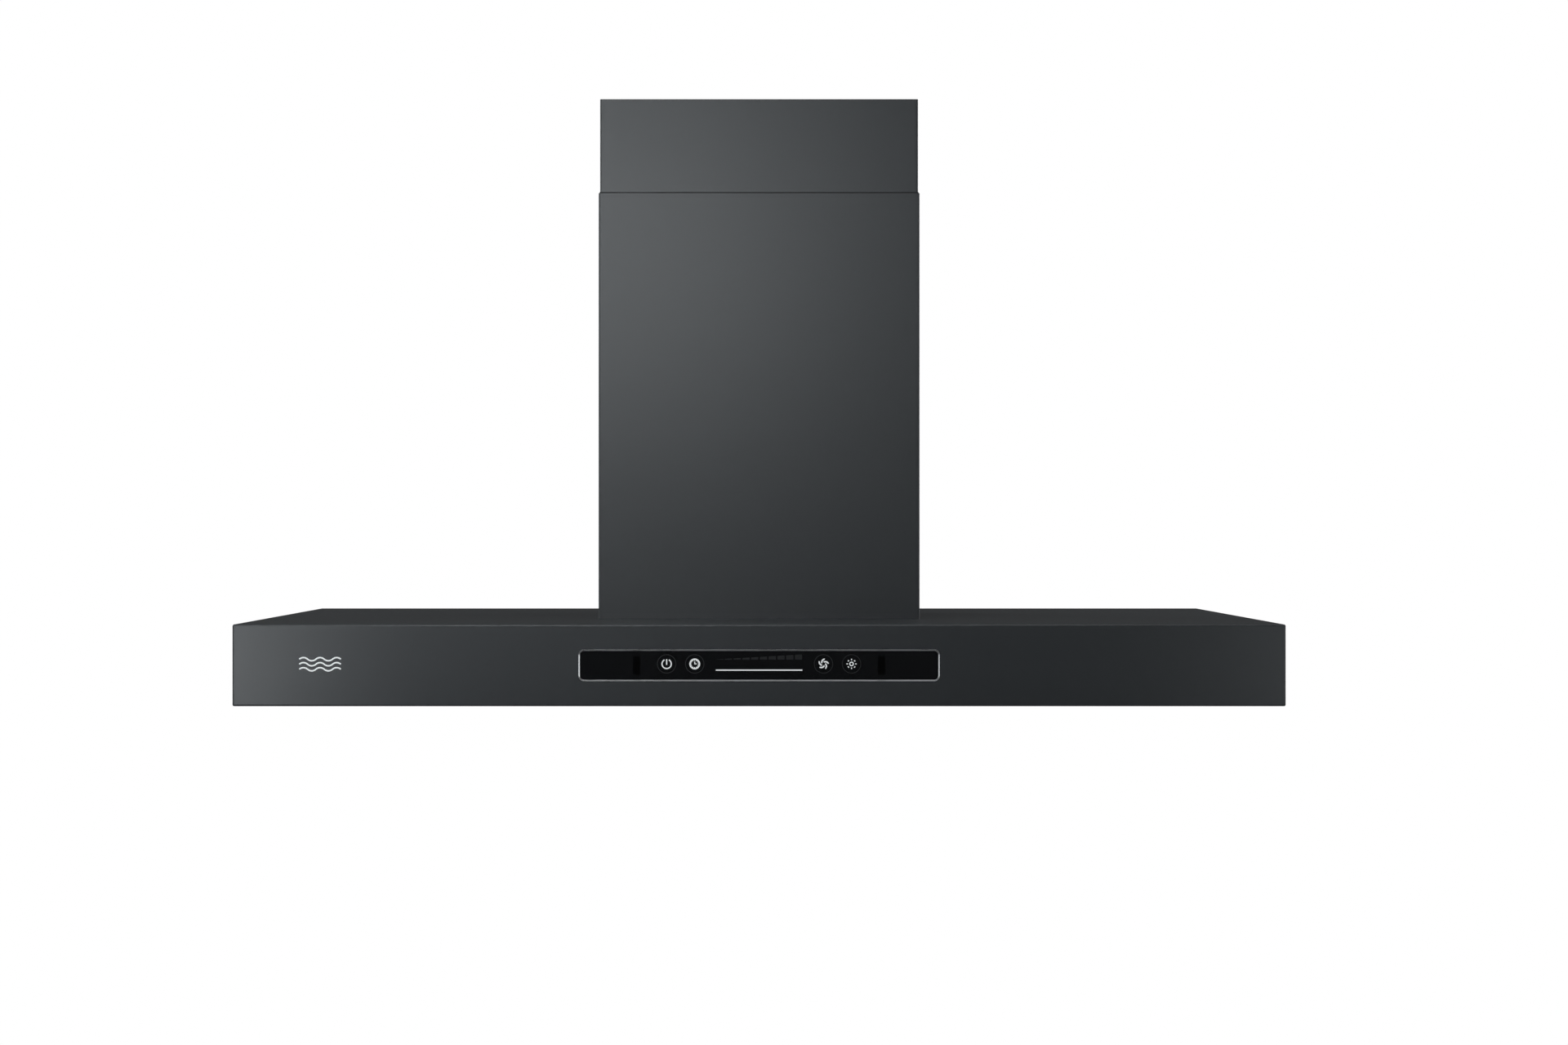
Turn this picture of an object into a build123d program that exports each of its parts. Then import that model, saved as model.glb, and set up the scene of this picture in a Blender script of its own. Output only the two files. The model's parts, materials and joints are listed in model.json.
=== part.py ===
from build123d import *
from math import cos, sin, radians, pi
import os

os.makedirs("parts", exist_ok=True)

# Island range hood, in millimetres. The origin is the centre of the ceiling plate's top face,
# +Z is up, the control panel faces -Y and the long side lies along X.

# Overall sizes
hood_width = 900.0
hood_depth = 600.0
canopy_height = 70.0
chimney_width = 290.0
chimney_depth = 260.0
upper_cover_length = 370.0
upper_cover_showing = 85.0
lower_cover_length = 385.0
height_travel = 240.0

# Sheets and bends
shell_sheet = 1.0
shell_bend = 1.5
cover_sheet = 0.8
cover_bend = 1.6
frame_sheet = 2.0
frame_bend = 3.0
box_sheet = 1.0
box_bend = 2.0

# Clearances
cover_gap = 0.5
angle_gap = 0.3
bolt_head_room = 6.0
hole_gap = 0.2

# Ceiling frame
bolt_hole = 9.0
bolt_pitch_x = 230.0
bolt_pitch_y = 200.0
duct_opening = 190.0
mains_opening = 16.0
plate_flange = 22.0
cover_tab_width = 80.0
cover_tab_drop = 18.0
cover_screw_pitch = 50.0
cover_screw_drop = 10.0
angle_screw_drop = 13.0
upper_leg_length = 436.0
upper_leg_flange = 25.0
lower_leg_flange = 22.0
lower_leg_top_drop = 40.0
lock_bolt = 5.0
lock_slot = 5.5
lock_bolt_drops = (60.0, 110.0)
lock_bolt_inset = 12.0
leg_fixing_inset = 12.0
leg_rivet_heights = (50.0, 140.0, 220.0)

# Air box and outlet
air_box_height = 275.0
air_box_foot = 10.0
lid_skirt = 12.0
canopy_opening_margin = 6.6
duct_diameter = 150.0
collar_wall = 1.5
collar_flange_width = 13.0
collar_flange = 2.0
collar_height = 46.0
collar_screw_inset = 6.0
flap_pivot_x = 5.0
flap_pivot_height = 12.0
flap_sheet = 1.2
flap_gap = 2.0
flap_pin = 3.0
flap_pin_gap = 0.1
flap_hub = 4.4
gland_x = 100.0
gland_y = -85.0
gland_bore = 7.2

# Blower
impeller_radius = 85.0
impeller_width = 124.0
blade_count = 40
blade_depth = 12.0
blade_sheet = 0.9
scroll_width = 140.0
scroll_sheet = 1.0
scroll_first_radius = 100.0
scroll_growth = 18.0
scroll_end_angle = 382.0
scroll_rim = 3.0
tongue_radius = 6.0
inlet_radius = 68.0
inlet_lip = 6.0
blower_x = -18.0
blower_height = 126.0
outlet_half_width = 76.0
motor_radius = 42.0
motor_wall = 1.5
motor_front = 6.0
motor_length = 84.0
shaft_radius = 4.0
bearing_radius = 9.0
bearing_length = 6.0
rotor_radius = 18.0
running_gap = 0.05
bracket_sheet = 2.5

# Canopy and liner
return_flange = 20.0
liner_sheet = 1.0
liner_recess = 13.0
liner_clearance = 0.5
opening_margin_x = 74.0
opening_margin_y = 117.0
lamp_inset_x = 150.0
lamp_inset_y = 70.0
lamp_radius = 28.0

# Control panel
bezel_width = 308.8
bezel_height = 27.2
bezel_corner = 5.0
bezel_rim = 1.2
bezel_flange = 4.0
bezel_flange_sheet = 1.5
glass_thickness = 3.0
glass_recess = 1.2
glass_gap = 0.1
board_thickness = 1.6

# Filters
filter_count = 3
filter_height = 12.0
filter_sheet = 0.8
filter_gap = 2.0
filter_side_gap = 1.0
filter_end_gap = 1.2
filter_lip = 12.0
filter_front_lip = 40.0
filter_top_lip = 8.0
slat_width = 20.0
slat_height = 5.0
slat_pitch = 30.0
hook_width = 20.0
hook_pitch = 160.0
hook_reach = 8.0
hook_sheet = 1.5
latch_width = 36.0
latch_sheet = 1.5
latch_tongue = 16.0
latch_reach = 5.0
latch_travel = 6.0
grip_width = 22.0
grip_length = 8.0
grip_drop = 7.0
latch_clearance = 0.3


def shrink(size, wall):
    return (size[0] - 2 * wall, size[1] - 2 * wall)


# Sizes of the nested rectangles, from the outer cover inwards
lower_cover_size = (chimney_width, chimney_depth)
lower_cover_inside = shrink(lower_cover_size, cover_sheet)
upper_cover_size = shrink(lower_cover_inside, cover_gap)
upper_cover_inside = shrink(upper_cover_size, cover_sheet)
upper_leg_size = shrink(upper_cover_inside, bolt_head_room)
ceiling_plate_size = shrink(upper_leg_size, frame_sheet)
lower_leg_size = shrink(ceiling_plate_size, angle_gap)
air_box_size = shrink(lower_leg_size, frame_sheet)
canopy_opening = shrink(air_box_size, box_sheet + canopy_opening_margin)

# Levels
canopy_top = -(upper_cover_showing + lower_cover_length)
canopy_bottom = canopy_top - canopy_height
lid_bottom = canopy_top + air_box_height
lid_top = lid_bottom + box_sheet
blower_z = canopy_top + blower_height
pan_bottom = canopy_bottom + liner_recess
pan_top = pan_bottom + liner_sheet
control_z = canopy_bottom + canopy_height / 2
front = hood_depth / 2

corners = [(sx, sy) for sx in (-1, 1) for sy in (-1, 1)]


def level(z):
    return Plane.XY.offset(z)


def across(y):
    # a plane at this y, seen from the front: its own x is X and its own y is Z
    return Plane.XZ.offset(-y)


def from_side(x):
    # a plane at this x: its own x is Y and its own y is Z
    return Plane.YZ.offset(x)


def sheet_tube(size, sheet, bend):
    RectangleRounded(*size, bend)
    RectangleRounded(*shrink(size, sheet), bend - sheet, mode=Mode.SUBTRACT)


def facing(x, y, z, direction):
    return Plane(origin=(x, y, z), z_dir=direction)


def pan_screw(thread, length, head, head_height):
    # head above its own XY plane, shank below it
    slot_length = head * 0.6
    slot_width = head * 0.16
    with BuildPart() as screw:
        with BuildSketch(Plane.XY):
            Circle(head / 2)
        extrude(amount=head_height)
        fillet(screw.faces().sort_by(Axis.Z)[-1].edges(), head_height / 2)
        with BuildSketch(Plane.XY.offset(head_height)):
            Rectangle(slot_length, slot_width)
            Rectangle(slot_width, slot_length)
        extrude(amount=-head_height / 2, mode=Mode.SUBTRACT)
        with BuildSketch(Plane.XY):
            Circle(thread / 2)
        extrude(amount=-length)
    return screw.part


def flush_screw(thread, length, head):
    # cone head below its own XY plane, level with it
    cone_height = (head - thread) / 2
    slot_length = head * 0.55
    slot_width = head * 0.16
    with BuildPart() as screw:
        with BuildSketch(Plane.XY):
            Circle(head / 2)
        with BuildSketch(Plane.XY.offset(-cone_height)):
            Circle(thread / 2)
        loft()
        with BuildSketch(Plane.XY.offset(-length)):
            Circle(thread / 2)
        extrude(amount=length - cone_height)
        with BuildSketch(Plane.XY):
            Rectangle(slot_length, slot_width)
            Rectangle(slot_width, slot_length)
        extrude(amount=-cone_height / 2, mode=Mode.SUBTRACT)
    return screw.part


def flush_hole(thread, head, depth):
    # the room that a flush screw takes in the sheets it goes through
    cone_height = (head - thread) / 2
    with BuildPart() as hole:
        with BuildSketch(Plane.XY):
            Circle(head / 2)
        with BuildSketch(Plane.XY.offset(-cone_height)):
            Circle(thread / 2)
        loft()
        with BuildSketch(Plane.XY.offset(-depth)):
            Circle(thread / 2)
        extrude(amount=depth - cone_height)
    return hole.part


screw_thread = 4.0
screw_hole = (screw_thread + hole_gap) / 2
frame_screw = pan_screw(screw_thread, 7.0, 7.5, 2.2)
sheet_screw = pan_screw(screw_thread, 5.0, 7.0, 1.8)
low_head = 7.4
low_screw = flush_screw(screw_thread, 5.0, low_head)
low_hole = flush_hole(screw_thread, low_head, 2 * shell_sheet + liner_sheet)
small_screw_hole = (3.0 + hole_gap) / 2

# Ceiling plate: folded flanges inside the angles, and two tabs that reach out to the upper cover
tab_relief = 3.0
with BuildPart() as ceiling_plate:
    with BuildSketch(level(-frame_sheet)):
        RectangleRounded(*ceiling_plate_size, frame_bend)
        Rectangle(upper_cover_inside[0], cover_tab_width)
        with GridLocations(bolt_pitch_x, bolt_pitch_y, 2, 2):
            Circle(bolt_hole / 2, mode=Mode.SUBTRACT)
        Circle(duct_opening / 2, mode=Mode.SUBTRACT)
        with Locations((gland_x, gland_y)):
            Circle(mains_opening / 2, mode=Mode.SUBTRACT)
    extrude(amount=frame_sheet)
    with BuildSketch(level(-frame_sheet - plate_flange)):
        Rectangle(*ceiling_plate_size)
        Rectangle(*shrink(ceiling_plate_size, frame_sheet), mode=Mode.SUBTRACT)
        Rectangle(ceiling_plate_size[0] + frame_sheet, cover_tab_width + 2 * tab_relief, mode=Mode.SUBTRACT)
        with GridLocations(*ceiling_plate_size, 2, 2):
            Rectangle(4 * frame_sheet, 4 * frame_sheet, mode=Mode.SUBTRACT)
    extrude(amount=plate_flange)
    with BuildSketch(level(-frame_sheet - cover_tab_drop)):
        with GridLocations(upper_cover_inside[0] - frame_sheet, 0, 2, 1):
            Rectangle(frame_sheet, cover_tab_width)
    extrude(amount=cover_tab_drop)
    with BuildSketch(from_side(0)):
        with Locations((0, -angle_screw_drop)):
            with GridLocations(upper_leg_size[1] - 2 * leg_fixing_inset, 0, 2, 1):
                Circle(screw_hole)
        with Locations((0, -cover_screw_drop)):
            with GridLocations(cover_screw_pitch, 0, 2, 1):
                Circle(screw_hole)
    extrude(amount=chimney_width, both=True, mode=Mode.SUBTRACT)
    with BuildSketch(across(0)):
        with Locations((0, -angle_screw_drop)):
            with GridLocations(upper_leg_size[0] - 2 * leg_fixing_inset, 0, 2, 1):
                Circle(screw_hole)
    extrude(amount=chimney_depth, both=True, mode=Mode.SUBTRACT)
ceiling_plate.part.label = "ceiling_plate"
export_step(ceiling_plate.part, "parts/ceiling_plate.step")


def corner_angles(size, flange, bottom, length):
    with BuildPart() as angles:
        with BuildSketch(level(bottom)):
            sheet_tube(size, frame_sheet, frame_bend)
            Rectangle(size[0] - 2 * flange, size[1] + frame_sheet, mode=Mode.SUBTRACT)
            Rectangle(size[0] + frame_sheet, size[1] - 2 * flange, mode=Mode.SUBTRACT)
        extrude(amount=length)
    return angles.part


# Upper angles, with the long slots that the lock bolts run in
lock_bolt_y = lower_leg_size[1] / 2 - lock_bolt_inset
slot_top = -lock_bolt_drops[0] + lock_slot / 2 + hole_gap
slot_bottom = -lock_bolt_drops[1] - height_travel - lock_slot / 2 - hole_gap
with BuildPart() as upper_legs:
    add(corner_angles(upper_leg_size, upper_leg_flange, -upper_leg_length, upper_leg_length))
    with BuildSketch(from_side(0)):
        with Locations((0, (slot_top + slot_bottom) / 2)):
            with GridLocations(2 * lock_bolt_y, 0, 2, 1):
                SlotOverall(slot_top - slot_bottom, lock_slot, rotation=90)
        with Locations((0, -angle_screw_drop)):
            with GridLocations(upper_leg_size[1] - 2 * leg_fixing_inset, 0, 2, 1):
                Circle(screw_hole)
    extrude(amount=chimney_width, both=True, mode=Mode.SUBTRACT)
    with BuildSketch(across(0)):
        with Locations((0, -angle_screw_drop)):
            with GridLocations(upper_leg_size[0] - 2 * leg_fixing_inset, 0, 2, 1):
                Circle(screw_hole)
    extrude(amount=chimney_depth, both=True, mode=Mode.SUBTRACT)
upper_legs.part.label = "upper_legs"
export_step(upper_legs.part, "parts/upper_legs.step")

# Screws of the ceiling frame: two at the top of each angle, and four that hold the upper cover
ceiling_screw_places = []
for sx, sy in corners:
    side_y = sy * (upper_leg_size[1] / 2 - leg_fixing_inset)
    end_x = sx * (upper_leg_size[0] / 2 - leg_fixing_inset)
    ceiling_screw_places += [
        facing(sx * upper_leg_size[0] / 2, side_y, -angle_screw_drop, (sx, 0, 0)),
        facing(end_x, sy * upper_leg_size[1] / 2, -angle_screw_drop, (0, sy, 0)),
        facing(sx * upper_cover_size[0] / 2, sy * cover_screw_pitch / 2, -cover_screw_drop, (sx, 0, 0)),
    ]
with BuildPart() as ceiling_screws:
    with Locations(*ceiling_screw_places):
        add(frame_screw)
ceiling_screws.part.label = "ceiling_screws"
export_step(ceiling_screws.part, "parts/ceiling_screws.step")

# Upper chimney cover, one closed folded tube
with BuildPart() as upper_chimney_cover:
    with BuildSketch(level(-upper_cover_length)):
        sheet_tube(upper_cover_size, cover_sheet, cover_bend)
    extrude(amount=upper_cover_length)
    with BuildSketch(from_side(0)):
        with Locations((0, -cover_screw_drop)):
            with GridLocations(cover_screw_pitch, 0, 2, 1):
                Circle(screw_hole)
    extrude(amount=chimney_width, both=True, mode=Mode.SUBTRACT)
upper_chimney_cover.part.label = "upper_chimney_cover"
export_step(upper_chimney_cover.part, "parts/upper_chimney_cover.step")

# Lower chimney cover, with two bottom flanges that are screwed up from inside the canopy
cover_flange = 8.0
cover_flange_length = 200.0
cover_foot_x = lower_cover_inside[0] / 2 - cover_flange / 2
cover_foot_pitch = 120.0
with BuildPart() as lower_chimney_cover:
    with BuildSketch(level(canopy_top)):
        sheet_tube(lower_cover_size, cover_sheet, cover_bend)
    extrude(amount=lower_cover_length)
    with BuildSketch(level(canopy_top)):
        with GridLocations(2 * cover_foot_x, 0, 2, 1):
            Rectangle(cover_flange + cover_sheet, cover_flange_length)
        with GridLocations(2 * cover_foot_x, cover_foot_pitch, 2, 2):
            Circle(screw_hole, mode=Mode.SUBTRACT)
    extrude(amount=cover_sheet)
lower_chimney_cover.part.label = "lower_chimney_cover"
export_step(lower_chimney_cover.part, "parts/lower_chimney_cover.step")

with BuildPart() as cover_screws:
    with Locations(*[
        facing(sx * cover_foot_x, sy * cover_foot_pitch / 2, canopy_top - shell_sheet, (0, 0, -1))
        for sx, sy in corners
    ]):
        add(sheet_screw)
cover_screws.part.label = "cover_screws"
export_step(cover_screws.part, "parts/cover_screws.step")

# Lower angles, with pressed-in threaded bushes for the lock bolts and countersunk rivet holes
bush_radius = 4.5
bush_length = 5.0
rivet_radius = 2.0
rivet_head_radius = 3.8
rivet_head_depth = 1.6
rivet_gap = 0.05
lower_leg_top = -lower_leg_top_drop
rivet_places = []
for sx, sy in corners:
    for height in leg_rivet_heights:
        rivet_z = canopy_top + height
        side_y = sy * (lower_leg_size[1] / 2 - leg_fixing_inset)
        end_x = sx * (lower_leg_size[0] / 2 - leg_fixing_inset)
        rivet_places += [
            facing(sx * lower_leg_size[0] / 2, side_y, rivet_z, (sx, 0, 0)),
            facing(end_x, sy * lower_leg_size[1] / 2, rivet_z, (0, sy, 0)),
        ]
lock_places = [
    facing(sx * lower_leg_size[0] / 2, sy * lock_bolt_y, -drop, (sx, 0, 0))
    for sx, sy in corners
    for drop in lock_bolt_drops
]
bush_sink = frame_sheet + bush_length
with BuildPart() as lower_legs:
    add(corner_angles(lower_leg_size, lower_leg_flange, canopy_top, lower_leg_top - canopy_top))
    with Locations(*lock_places):
        with Locations((0, 0, -bush_sink / 2 - frame_sheet / 2)):
            Cylinder(bush_radius, bush_length)
        Cylinder(lock_bolt / 2 + running_gap, 4 * bush_sink, mode=Mode.SUBTRACT)
    with Locations(*rivet_places):
        Cylinder(rivet_radius + rivet_gap, 4 * frame_sheet, mode=Mode.SUBTRACT)
        with Locations((0, 0, -rivet_head_depth / 2)):
            Cone(
                rivet_radius + rivet_gap,
                rivet_head_radius + rivet_gap,
                rivet_head_depth,
                mode=Mode.SUBTRACT,
            )
lower_legs.part.label = "lower_legs"
export_step(lower_legs.part, "parts/lower_legs.step")

# Countersunk rivets, flush with the angles, whose tails swell inside the air box
rivet_tail_length = 2.0
rivet_grip = frame_sheet + box_sheet
with BuildPart() as rivet:
    with BuildSketch(Plane.XZ):
        with BuildLine():
            Polyline(
                (0, 0),
                (rivet_head_radius, 0),
                (rivet_radius, -rivet_head_depth),
                (rivet_radius, -rivet_grip),
                (rivet_head_radius, -rivet_grip),
                (rivet_head_radius - 1, -rivet_grip - rivet_tail_length),
                (0, -rivet_grip - rivet_tail_length),
                close=True,
            )
        make_face()
    revolve(axis=Axis.Z)
with BuildPart() as leg_rivets:
    with Locations(*rivet_places):
        add(rivet.part)
leg_rivets.part.label = "leg_rivets"
export_step(leg_rivets.part, "parts/leg_rivets.step")

# Lock bolts, with heads in the space outside the upper angles
lock_head_gap = 0.1
lock_head_height = 3.0
lock_head_x = upper_leg_size[0] / 2 + lock_head_gap
lock_bolt_length = lock_head_x - lower_leg_size[0] / 2 + bush_sink + 1
lock_screw = pan_screw(lock_bolt, lock_bolt_length, 9.5, lock_head_height)
with BuildPart() as height_lock_bolts:
    with Locations(*[
        facing(sx * lock_head_x, sy * lock_bolt_y, -drop, (sx, 0, 0))
        for sx, sy in corners
        for drop in lock_bolt_drops
    ]):
        add(lock_screw)
height_lock_bolts.part.label = "height_lock_bolts"
export_step(height_lock_bolts.part, "parts/height_lock_bolts.step")

# Air box: a folded tube with two feet that stand on the canopy
foot_length = 216.0
foot_screw_pitch = 60.0
foot_screw_y = air_box_size[1] / 2 + air_box_foot / 2
lid_screw_drop = 6.0
lid_screw_pitch_x = 140.0
lid_screw_pitch_y = 120.0
with BuildPart() as air_box:
    with BuildSketch(level(canopy_top)):
        sheet_tube(air_box_size, box_sheet, box_bend)
    extrude(amount=air_box_height)
    with BuildSketch(level(canopy_top)):
        with GridLocations(0, 2 * foot_screw_y - box_sheet, 1, 2):
            Rectangle(foot_length, air_box_foot + box_sheet)
        with GridLocations(foot_screw_pitch, 2 * foot_screw_y, 4, 2):
            Circle(screw_hole, mode=Mode.SUBTRACT)
    extrude(amount=box_sheet)
    with BuildSketch(from_side(0)):
        with Locations((0, lid_bottom - lid_screw_drop)):
            with GridLocations(lid_screw_pitch_y, 0, 2, 1):
                Circle(screw_hole)
    extrude(amount=chimney_width, both=True, mode=Mode.SUBTRACT)
    with BuildSketch(across(0)):
        with Locations((0, lid_bottom - lid_screw_drop)):
            with GridLocations(lid_screw_pitch_x, 0, 2, 1):
                Circle(screw_hole)
    extrude(amount=chimney_depth, both=True, mode=Mode.SUBTRACT)
    with Locations(*rivet_places):
        Cylinder(rivet_radius + rivet_gap, 4 * rivet_grip, mode=Mode.SUBTRACT)
air_box.part.label = "air_box"
export_step(air_box.part, "parts/air_box.step")

# Duct collar sizes, which the lid's opening and screws follow
collar_outer = duct_diameter / 2
collar_inner = collar_outer - collar_wall
collar_flange_radius = collar_outer + collar_flange_width
collar_screw_radius = collar_flange_radius - collar_screw_inset
gland_thread = 6.0
hanger_depth = 15.0
hanger_y = scroll_width / 2 + scroll_sheet + hanger_depth / 2
hanger_pitch = 130.0

# Air box lid: a flat sheet, whose edges reach over the box between the angles
skirt_x = air_box_size[0] - 2 * lower_leg_flange
skirt_y = air_box_size[1] - 2 * lower_leg_flange
with BuildPart() as air_box_lid:
    with BuildSketch(level(lid_bottom)):
        Rectangle(*air_box_size)
        Rectangle(air_box_size[0] + 2 * box_sheet, skirt_y)
        Rectangle(skirt_x, air_box_size[1] + 2 * box_sheet)
        with GridLocations(*air_box_size, 2, 2):
            Rectangle(2 * box_bend, 2 * box_bend, mode=Mode.SUBTRACT)
        Circle(collar_inner, mode=Mode.SUBTRACT)
        with Locations((gland_x, gland_y)):
            Circle(gland_thread + hole_gap, mode=Mode.SUBTRACT)
        with PolarLocations(collar_screw_radius, 4, start_angle=45):
            Circle(screw_hole, mode=Mode.SUBTRACT)
        with GridLocations(hanger_pitch, 2 * hanger_y, 2, 2):
            Circle(screw_hole, mode=Mode.SUBTRACT)
    extrude(amount=box_sheet)
air_box_lid.part.label = "air_box_lid"
export_step(air_box_lid.part, "parts/air_box_lid.step")

# Edge strips, welded under the lid's edges and screwed to the box's walls
with BuildPart() as lid_strips:
    with BuildSketch(level(lid_bottom - lid_skirt)):
        with GridLocations(air_box_size[0] + box_sheet, 0, 2, 1):
            Rectangle(box_sheet, skirt_y)
        with GridLocations(0, air_box_size[1] + box_sheet, 1, 2):
            Rectangle(skirt_x, box_sheet)
    extrude(amount=lid_skirt)
    with BuildSketch(from_side(0)):
        with Locations((0, lid_bottom - lid_screw_drop)):
            with GridLocations(lid_screw_pitch_y, 0, 2, 1):
                Circle(screw_hole)
    extrude(amount=chimney_width, both=True, mode=Mode.SUBTRACT)
    with BuildSketch(across(0)):
        with Locations((0, lid_bottom - lid_screw_drop)):
            with GridLocations(lid_screw_pitch_x, 0, 2, 1):
                Circle(screw_hole)
    extrude(amount=chimney_depth, both=True, mode=Mode.SUBTRACT)
lid_strips.part.label = "lid_strips"
export_step(lid_strips.part, "parts/lid_strips.step")

# Screws of the air box: its feet, its lid and the duct collar
box_screw_places = []
for sx, sy in corners:
    lid_screw_z = lid_bottom - lid_screw_drop
    skirt_face_x = sx * (air_box_size[0] / 2 + box_sheet)
    skirt_face_y = sy * (air_box_size[1] / 2 + box_sheet)
    box_screw_places += [
        facing(skirt_face_x, sy * lid_screw_pitch_y / 2, lid_screw_z, (sx, 0, 0)),
        facing(sx * lid_screw_pitch_x / 2, skirt_face_y, lid_screw_z, (0, sy, 0)),
        facing(sx * foot_screw_pitch / 2, sy * foot_screw_y, canopy_top + box_sheet, (0, 0, 1)),
        facing(sx * foot_screw_pitch * 1.5, sy * foot_screw_y, canopy_top + box_sheet, (0, 0, 1)),
        facing(
            sx * collar_screw_radius * cos(radians(45)),
            sy * collar_screw_radius * sin(radians(45)),
            lid_top + collar_flange,
            (0, 0, 1),
        ),
    ]
with BuildPart() as air_box_screws:
    with Locations(*box_screw_places):
        add(sheet_screw)
air_box_screws.part.label = "air_box_screws"
export_step(air_box_screws.part, "parts/air_box_screws.step")

# Duct collar: flange, spigot, a middle bar and a ledge that the two flaps rest on
flap_z = lid_top + flap_pivot_height
ledge_sheet = 1.5
ledge_width = 4.5
ledge_gap = 0.1
ledge_top = flap_z - flap_sheet / 2 - ledge_gap
ledge_break = 14.0
bar_half_width = 2.2
bar_height = 5.0
with BuildPart() as duct_collar:
    with BuildSketch(level(lid_top)):
        Circle(collar_flange_radius)
        Circle(collar_inner, mode=Mode.SUBTRACT)
        with PolarLocations(collar_screw_radius, 4, start_angle=45):
            Circle(screw_hole, mode=Mode.SUBTRACT)
    extrude(amount=collar_flange)
    with BuildSketch(level(lid_top)):
        Circle(collar_outer)
        Circle(collar_inner, mode=Mode.SUBTRACT)
    extrude(amount=collar_flange + collar_height)
    with BuildSketch(level(ledge_top - ledge_sheet)):
        Circle(collar_inner + collar_wall / 2)
        Circle(collar_inner - ledge_width, mode=Mode.SUBTRACT)
        Rectangle(2 * ledge_break, 2 * duct_diameter, mode=Mode.SUBTRACT)
    extrude(amount=ledge_sheet)
    with BuildSketch(level(ledge_top - bar_height)):
        Rectangle(2 * bar_half_width, 2 * collar_inner + collar_wall)
    extrude(amount=bar_height)
    with BuildSketch(across(0)):
        with Locations((0, flap_z)):
            with GridLocations(2 * flap_pivot_x, 0, 2, 1):
                Circle(flap_pin / 2 + flap_pin_gap)
    extrude(amount=duct_diameter, both=True, mode=Mode.SUBTRACT)
duct_collar.part.label = "duct_collar"
export_step(duct_collar.part, "parts/duct_collar.step")

# Non-return flaps: half discs on pivot pins that turn in the collar's holes
flap_radius = collar_inner - flap_gap
flap_pin_reach = collar_inner + collar_wall / 2
flap_end = (flap_radius**2 - flap_pivot_x**2) ** 0.5
for side, sign in (("left", -1), ("right", 1)):
    with BuildPart() as damper:
        with BuildSketch(level(flap_z - flap_sheet / 2)):
            Circle(flap_radius)
            with Locations((-sign * (flap_radius - flap_pivot_x), 0)):
                Rectangle(2 * flap_radius, 2 * flap_radius, mode=Mode.SUBTRACT)
        extrude(amount=flap_sheet)
        with Locations((sign * flap_pivot_x, 0, flap_z)):
            Cylinder(flap_hub / 2, 2 * flap_end - flap_gap, rotation=(90, 0, 0))
            Cylinder(flap_pin / 2, 2 * flap_pin_reach, rotation=(90, 0, 0))
    damper.part.label = f"damper_{side}"
    export_step(damper.part, f"parts/damper_{side}.step")

# Cable gland in the lid, with a locknut below it
gland_nut_radius = 9.0
gland_cap_height = 12.0
gland_tail = 8.0
gland_nut = 3.0
with BuildPart() as mains_gland:
    with BuildSketch(level(lid_top)):
        with Locations((gland_x, gland_y)):
            RegularPolygon(gland_nut_radius, 6)
    extrude(amount=gland_nut)
    with BuildSketch(level(lid_top)):
        with Locations((gland_x, gland_y)):
            Circle(gland_nut_radius - 1.8)
    extrude(amount=gland_cap_height)
    fillet(mains_gland.faces().sort_by(Axis.Z)[-1].edges(), 1.5)
    with BuildSketch(level(lid_bottom - gland_tail)):
        with Locations((gland_x, gland_y)):
            Circle(gland_thread)
    extrude(amount=gland_tail + box_sheet)
    with BuildSketch(level(lid_bottom - gland_nut)):
        with Locations((gland_x, gland_y)):
            RegularPolygon(gland_nut_radius, 6)
    extrude(amount=gland_nut)
    with Locations((gland_x, gland_y, lid_top)):
        Cylinder(gland_bore / 2, 4 * gland_cap_height, mode=Mode.SUBTRACT)
mains_gland.part.label = "mains_gland"
export_step(mains_gland.part, "parts/mains_gland.step")

# Blower: the scroll is three arcs whose centres step round a square, each arc wider than the last
outlet_top = lid_bottom


def at_angle(centre, radius, angle):
    return (centre[0] + radius * cos(radians(angle)), centre[1] + radius * sin(radians(angle)))


first_centre = at_angle(at_angle((blower_x, blower_z), scroll_growth / 2, 210), scroll_growth / 2, 300)
second_centre = at_angle(first_centre, -scroll_growth, 210)
third_centre = at_angle(second_centre, -scroll_growth, 300)
second_radius = scroll_first_radius + scroll_growth
third_radius = second_radius + scroll_growth
tongue_point = at_angle(first_centre, scroll_first_radius, 120)
outlet_start = at_angle(third_centre, third_radius, scroll_end_angle)
outlet_left = (-outlet_half_width, outlet_top)
outlet_right = (outlet_half_width, outlet_top)
with BuildSketch() as scroll_space:
    with BuildLine():
        Line(outlet_left, tongue_point)
        CenterArc(first_centre, scroll_first_radius, 120, 90)
        CenterArc(second_centre, second_radius, 210, 90)
        CenterArc(third_centre, third_radius, 300, scroll_end_angle - 300)
        Line(outlet_start, outlet_right)
        Line(outlet_right, outlet_left)
    make_face()
    fillet(scroll_space.vertices().sort_by_distance((*tongue_point, 0))[0], tongue_radius)
scroll_outline = scroll_space.sketch_local


def scroll_shape(margin):
    # the space inside the scroll, grown outwards, open at the outlet
    with BuildSketch() as shape:
        add(scroll_outline)
        offset(amount=margin)
        with Locations((0, outlet_top)):
            Rectangle(2 * chimney_width, canopy_height, align=(Align.CENTER, Align.MIN), mode=Mode.SUBTRACT)
    return shape.sketch_local


wrap_outline = scroll_shape(scroll_sheet)
plate_outline = scroll_shape(scroll_rim)
with BuildPart() as scroll_wrap:
    with BuildSketch(across(-scroll_width / 2)):
        add(wrap_outline)
        add(scroll_outline, mode=Mode.SUBTRACT)
    extrude(amount=-scroll_width)
scroll_wrap.part.label = "scroll_wrap"
export_step(scroll_wrap.part, "parts/scroll_wrap.step")

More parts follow.
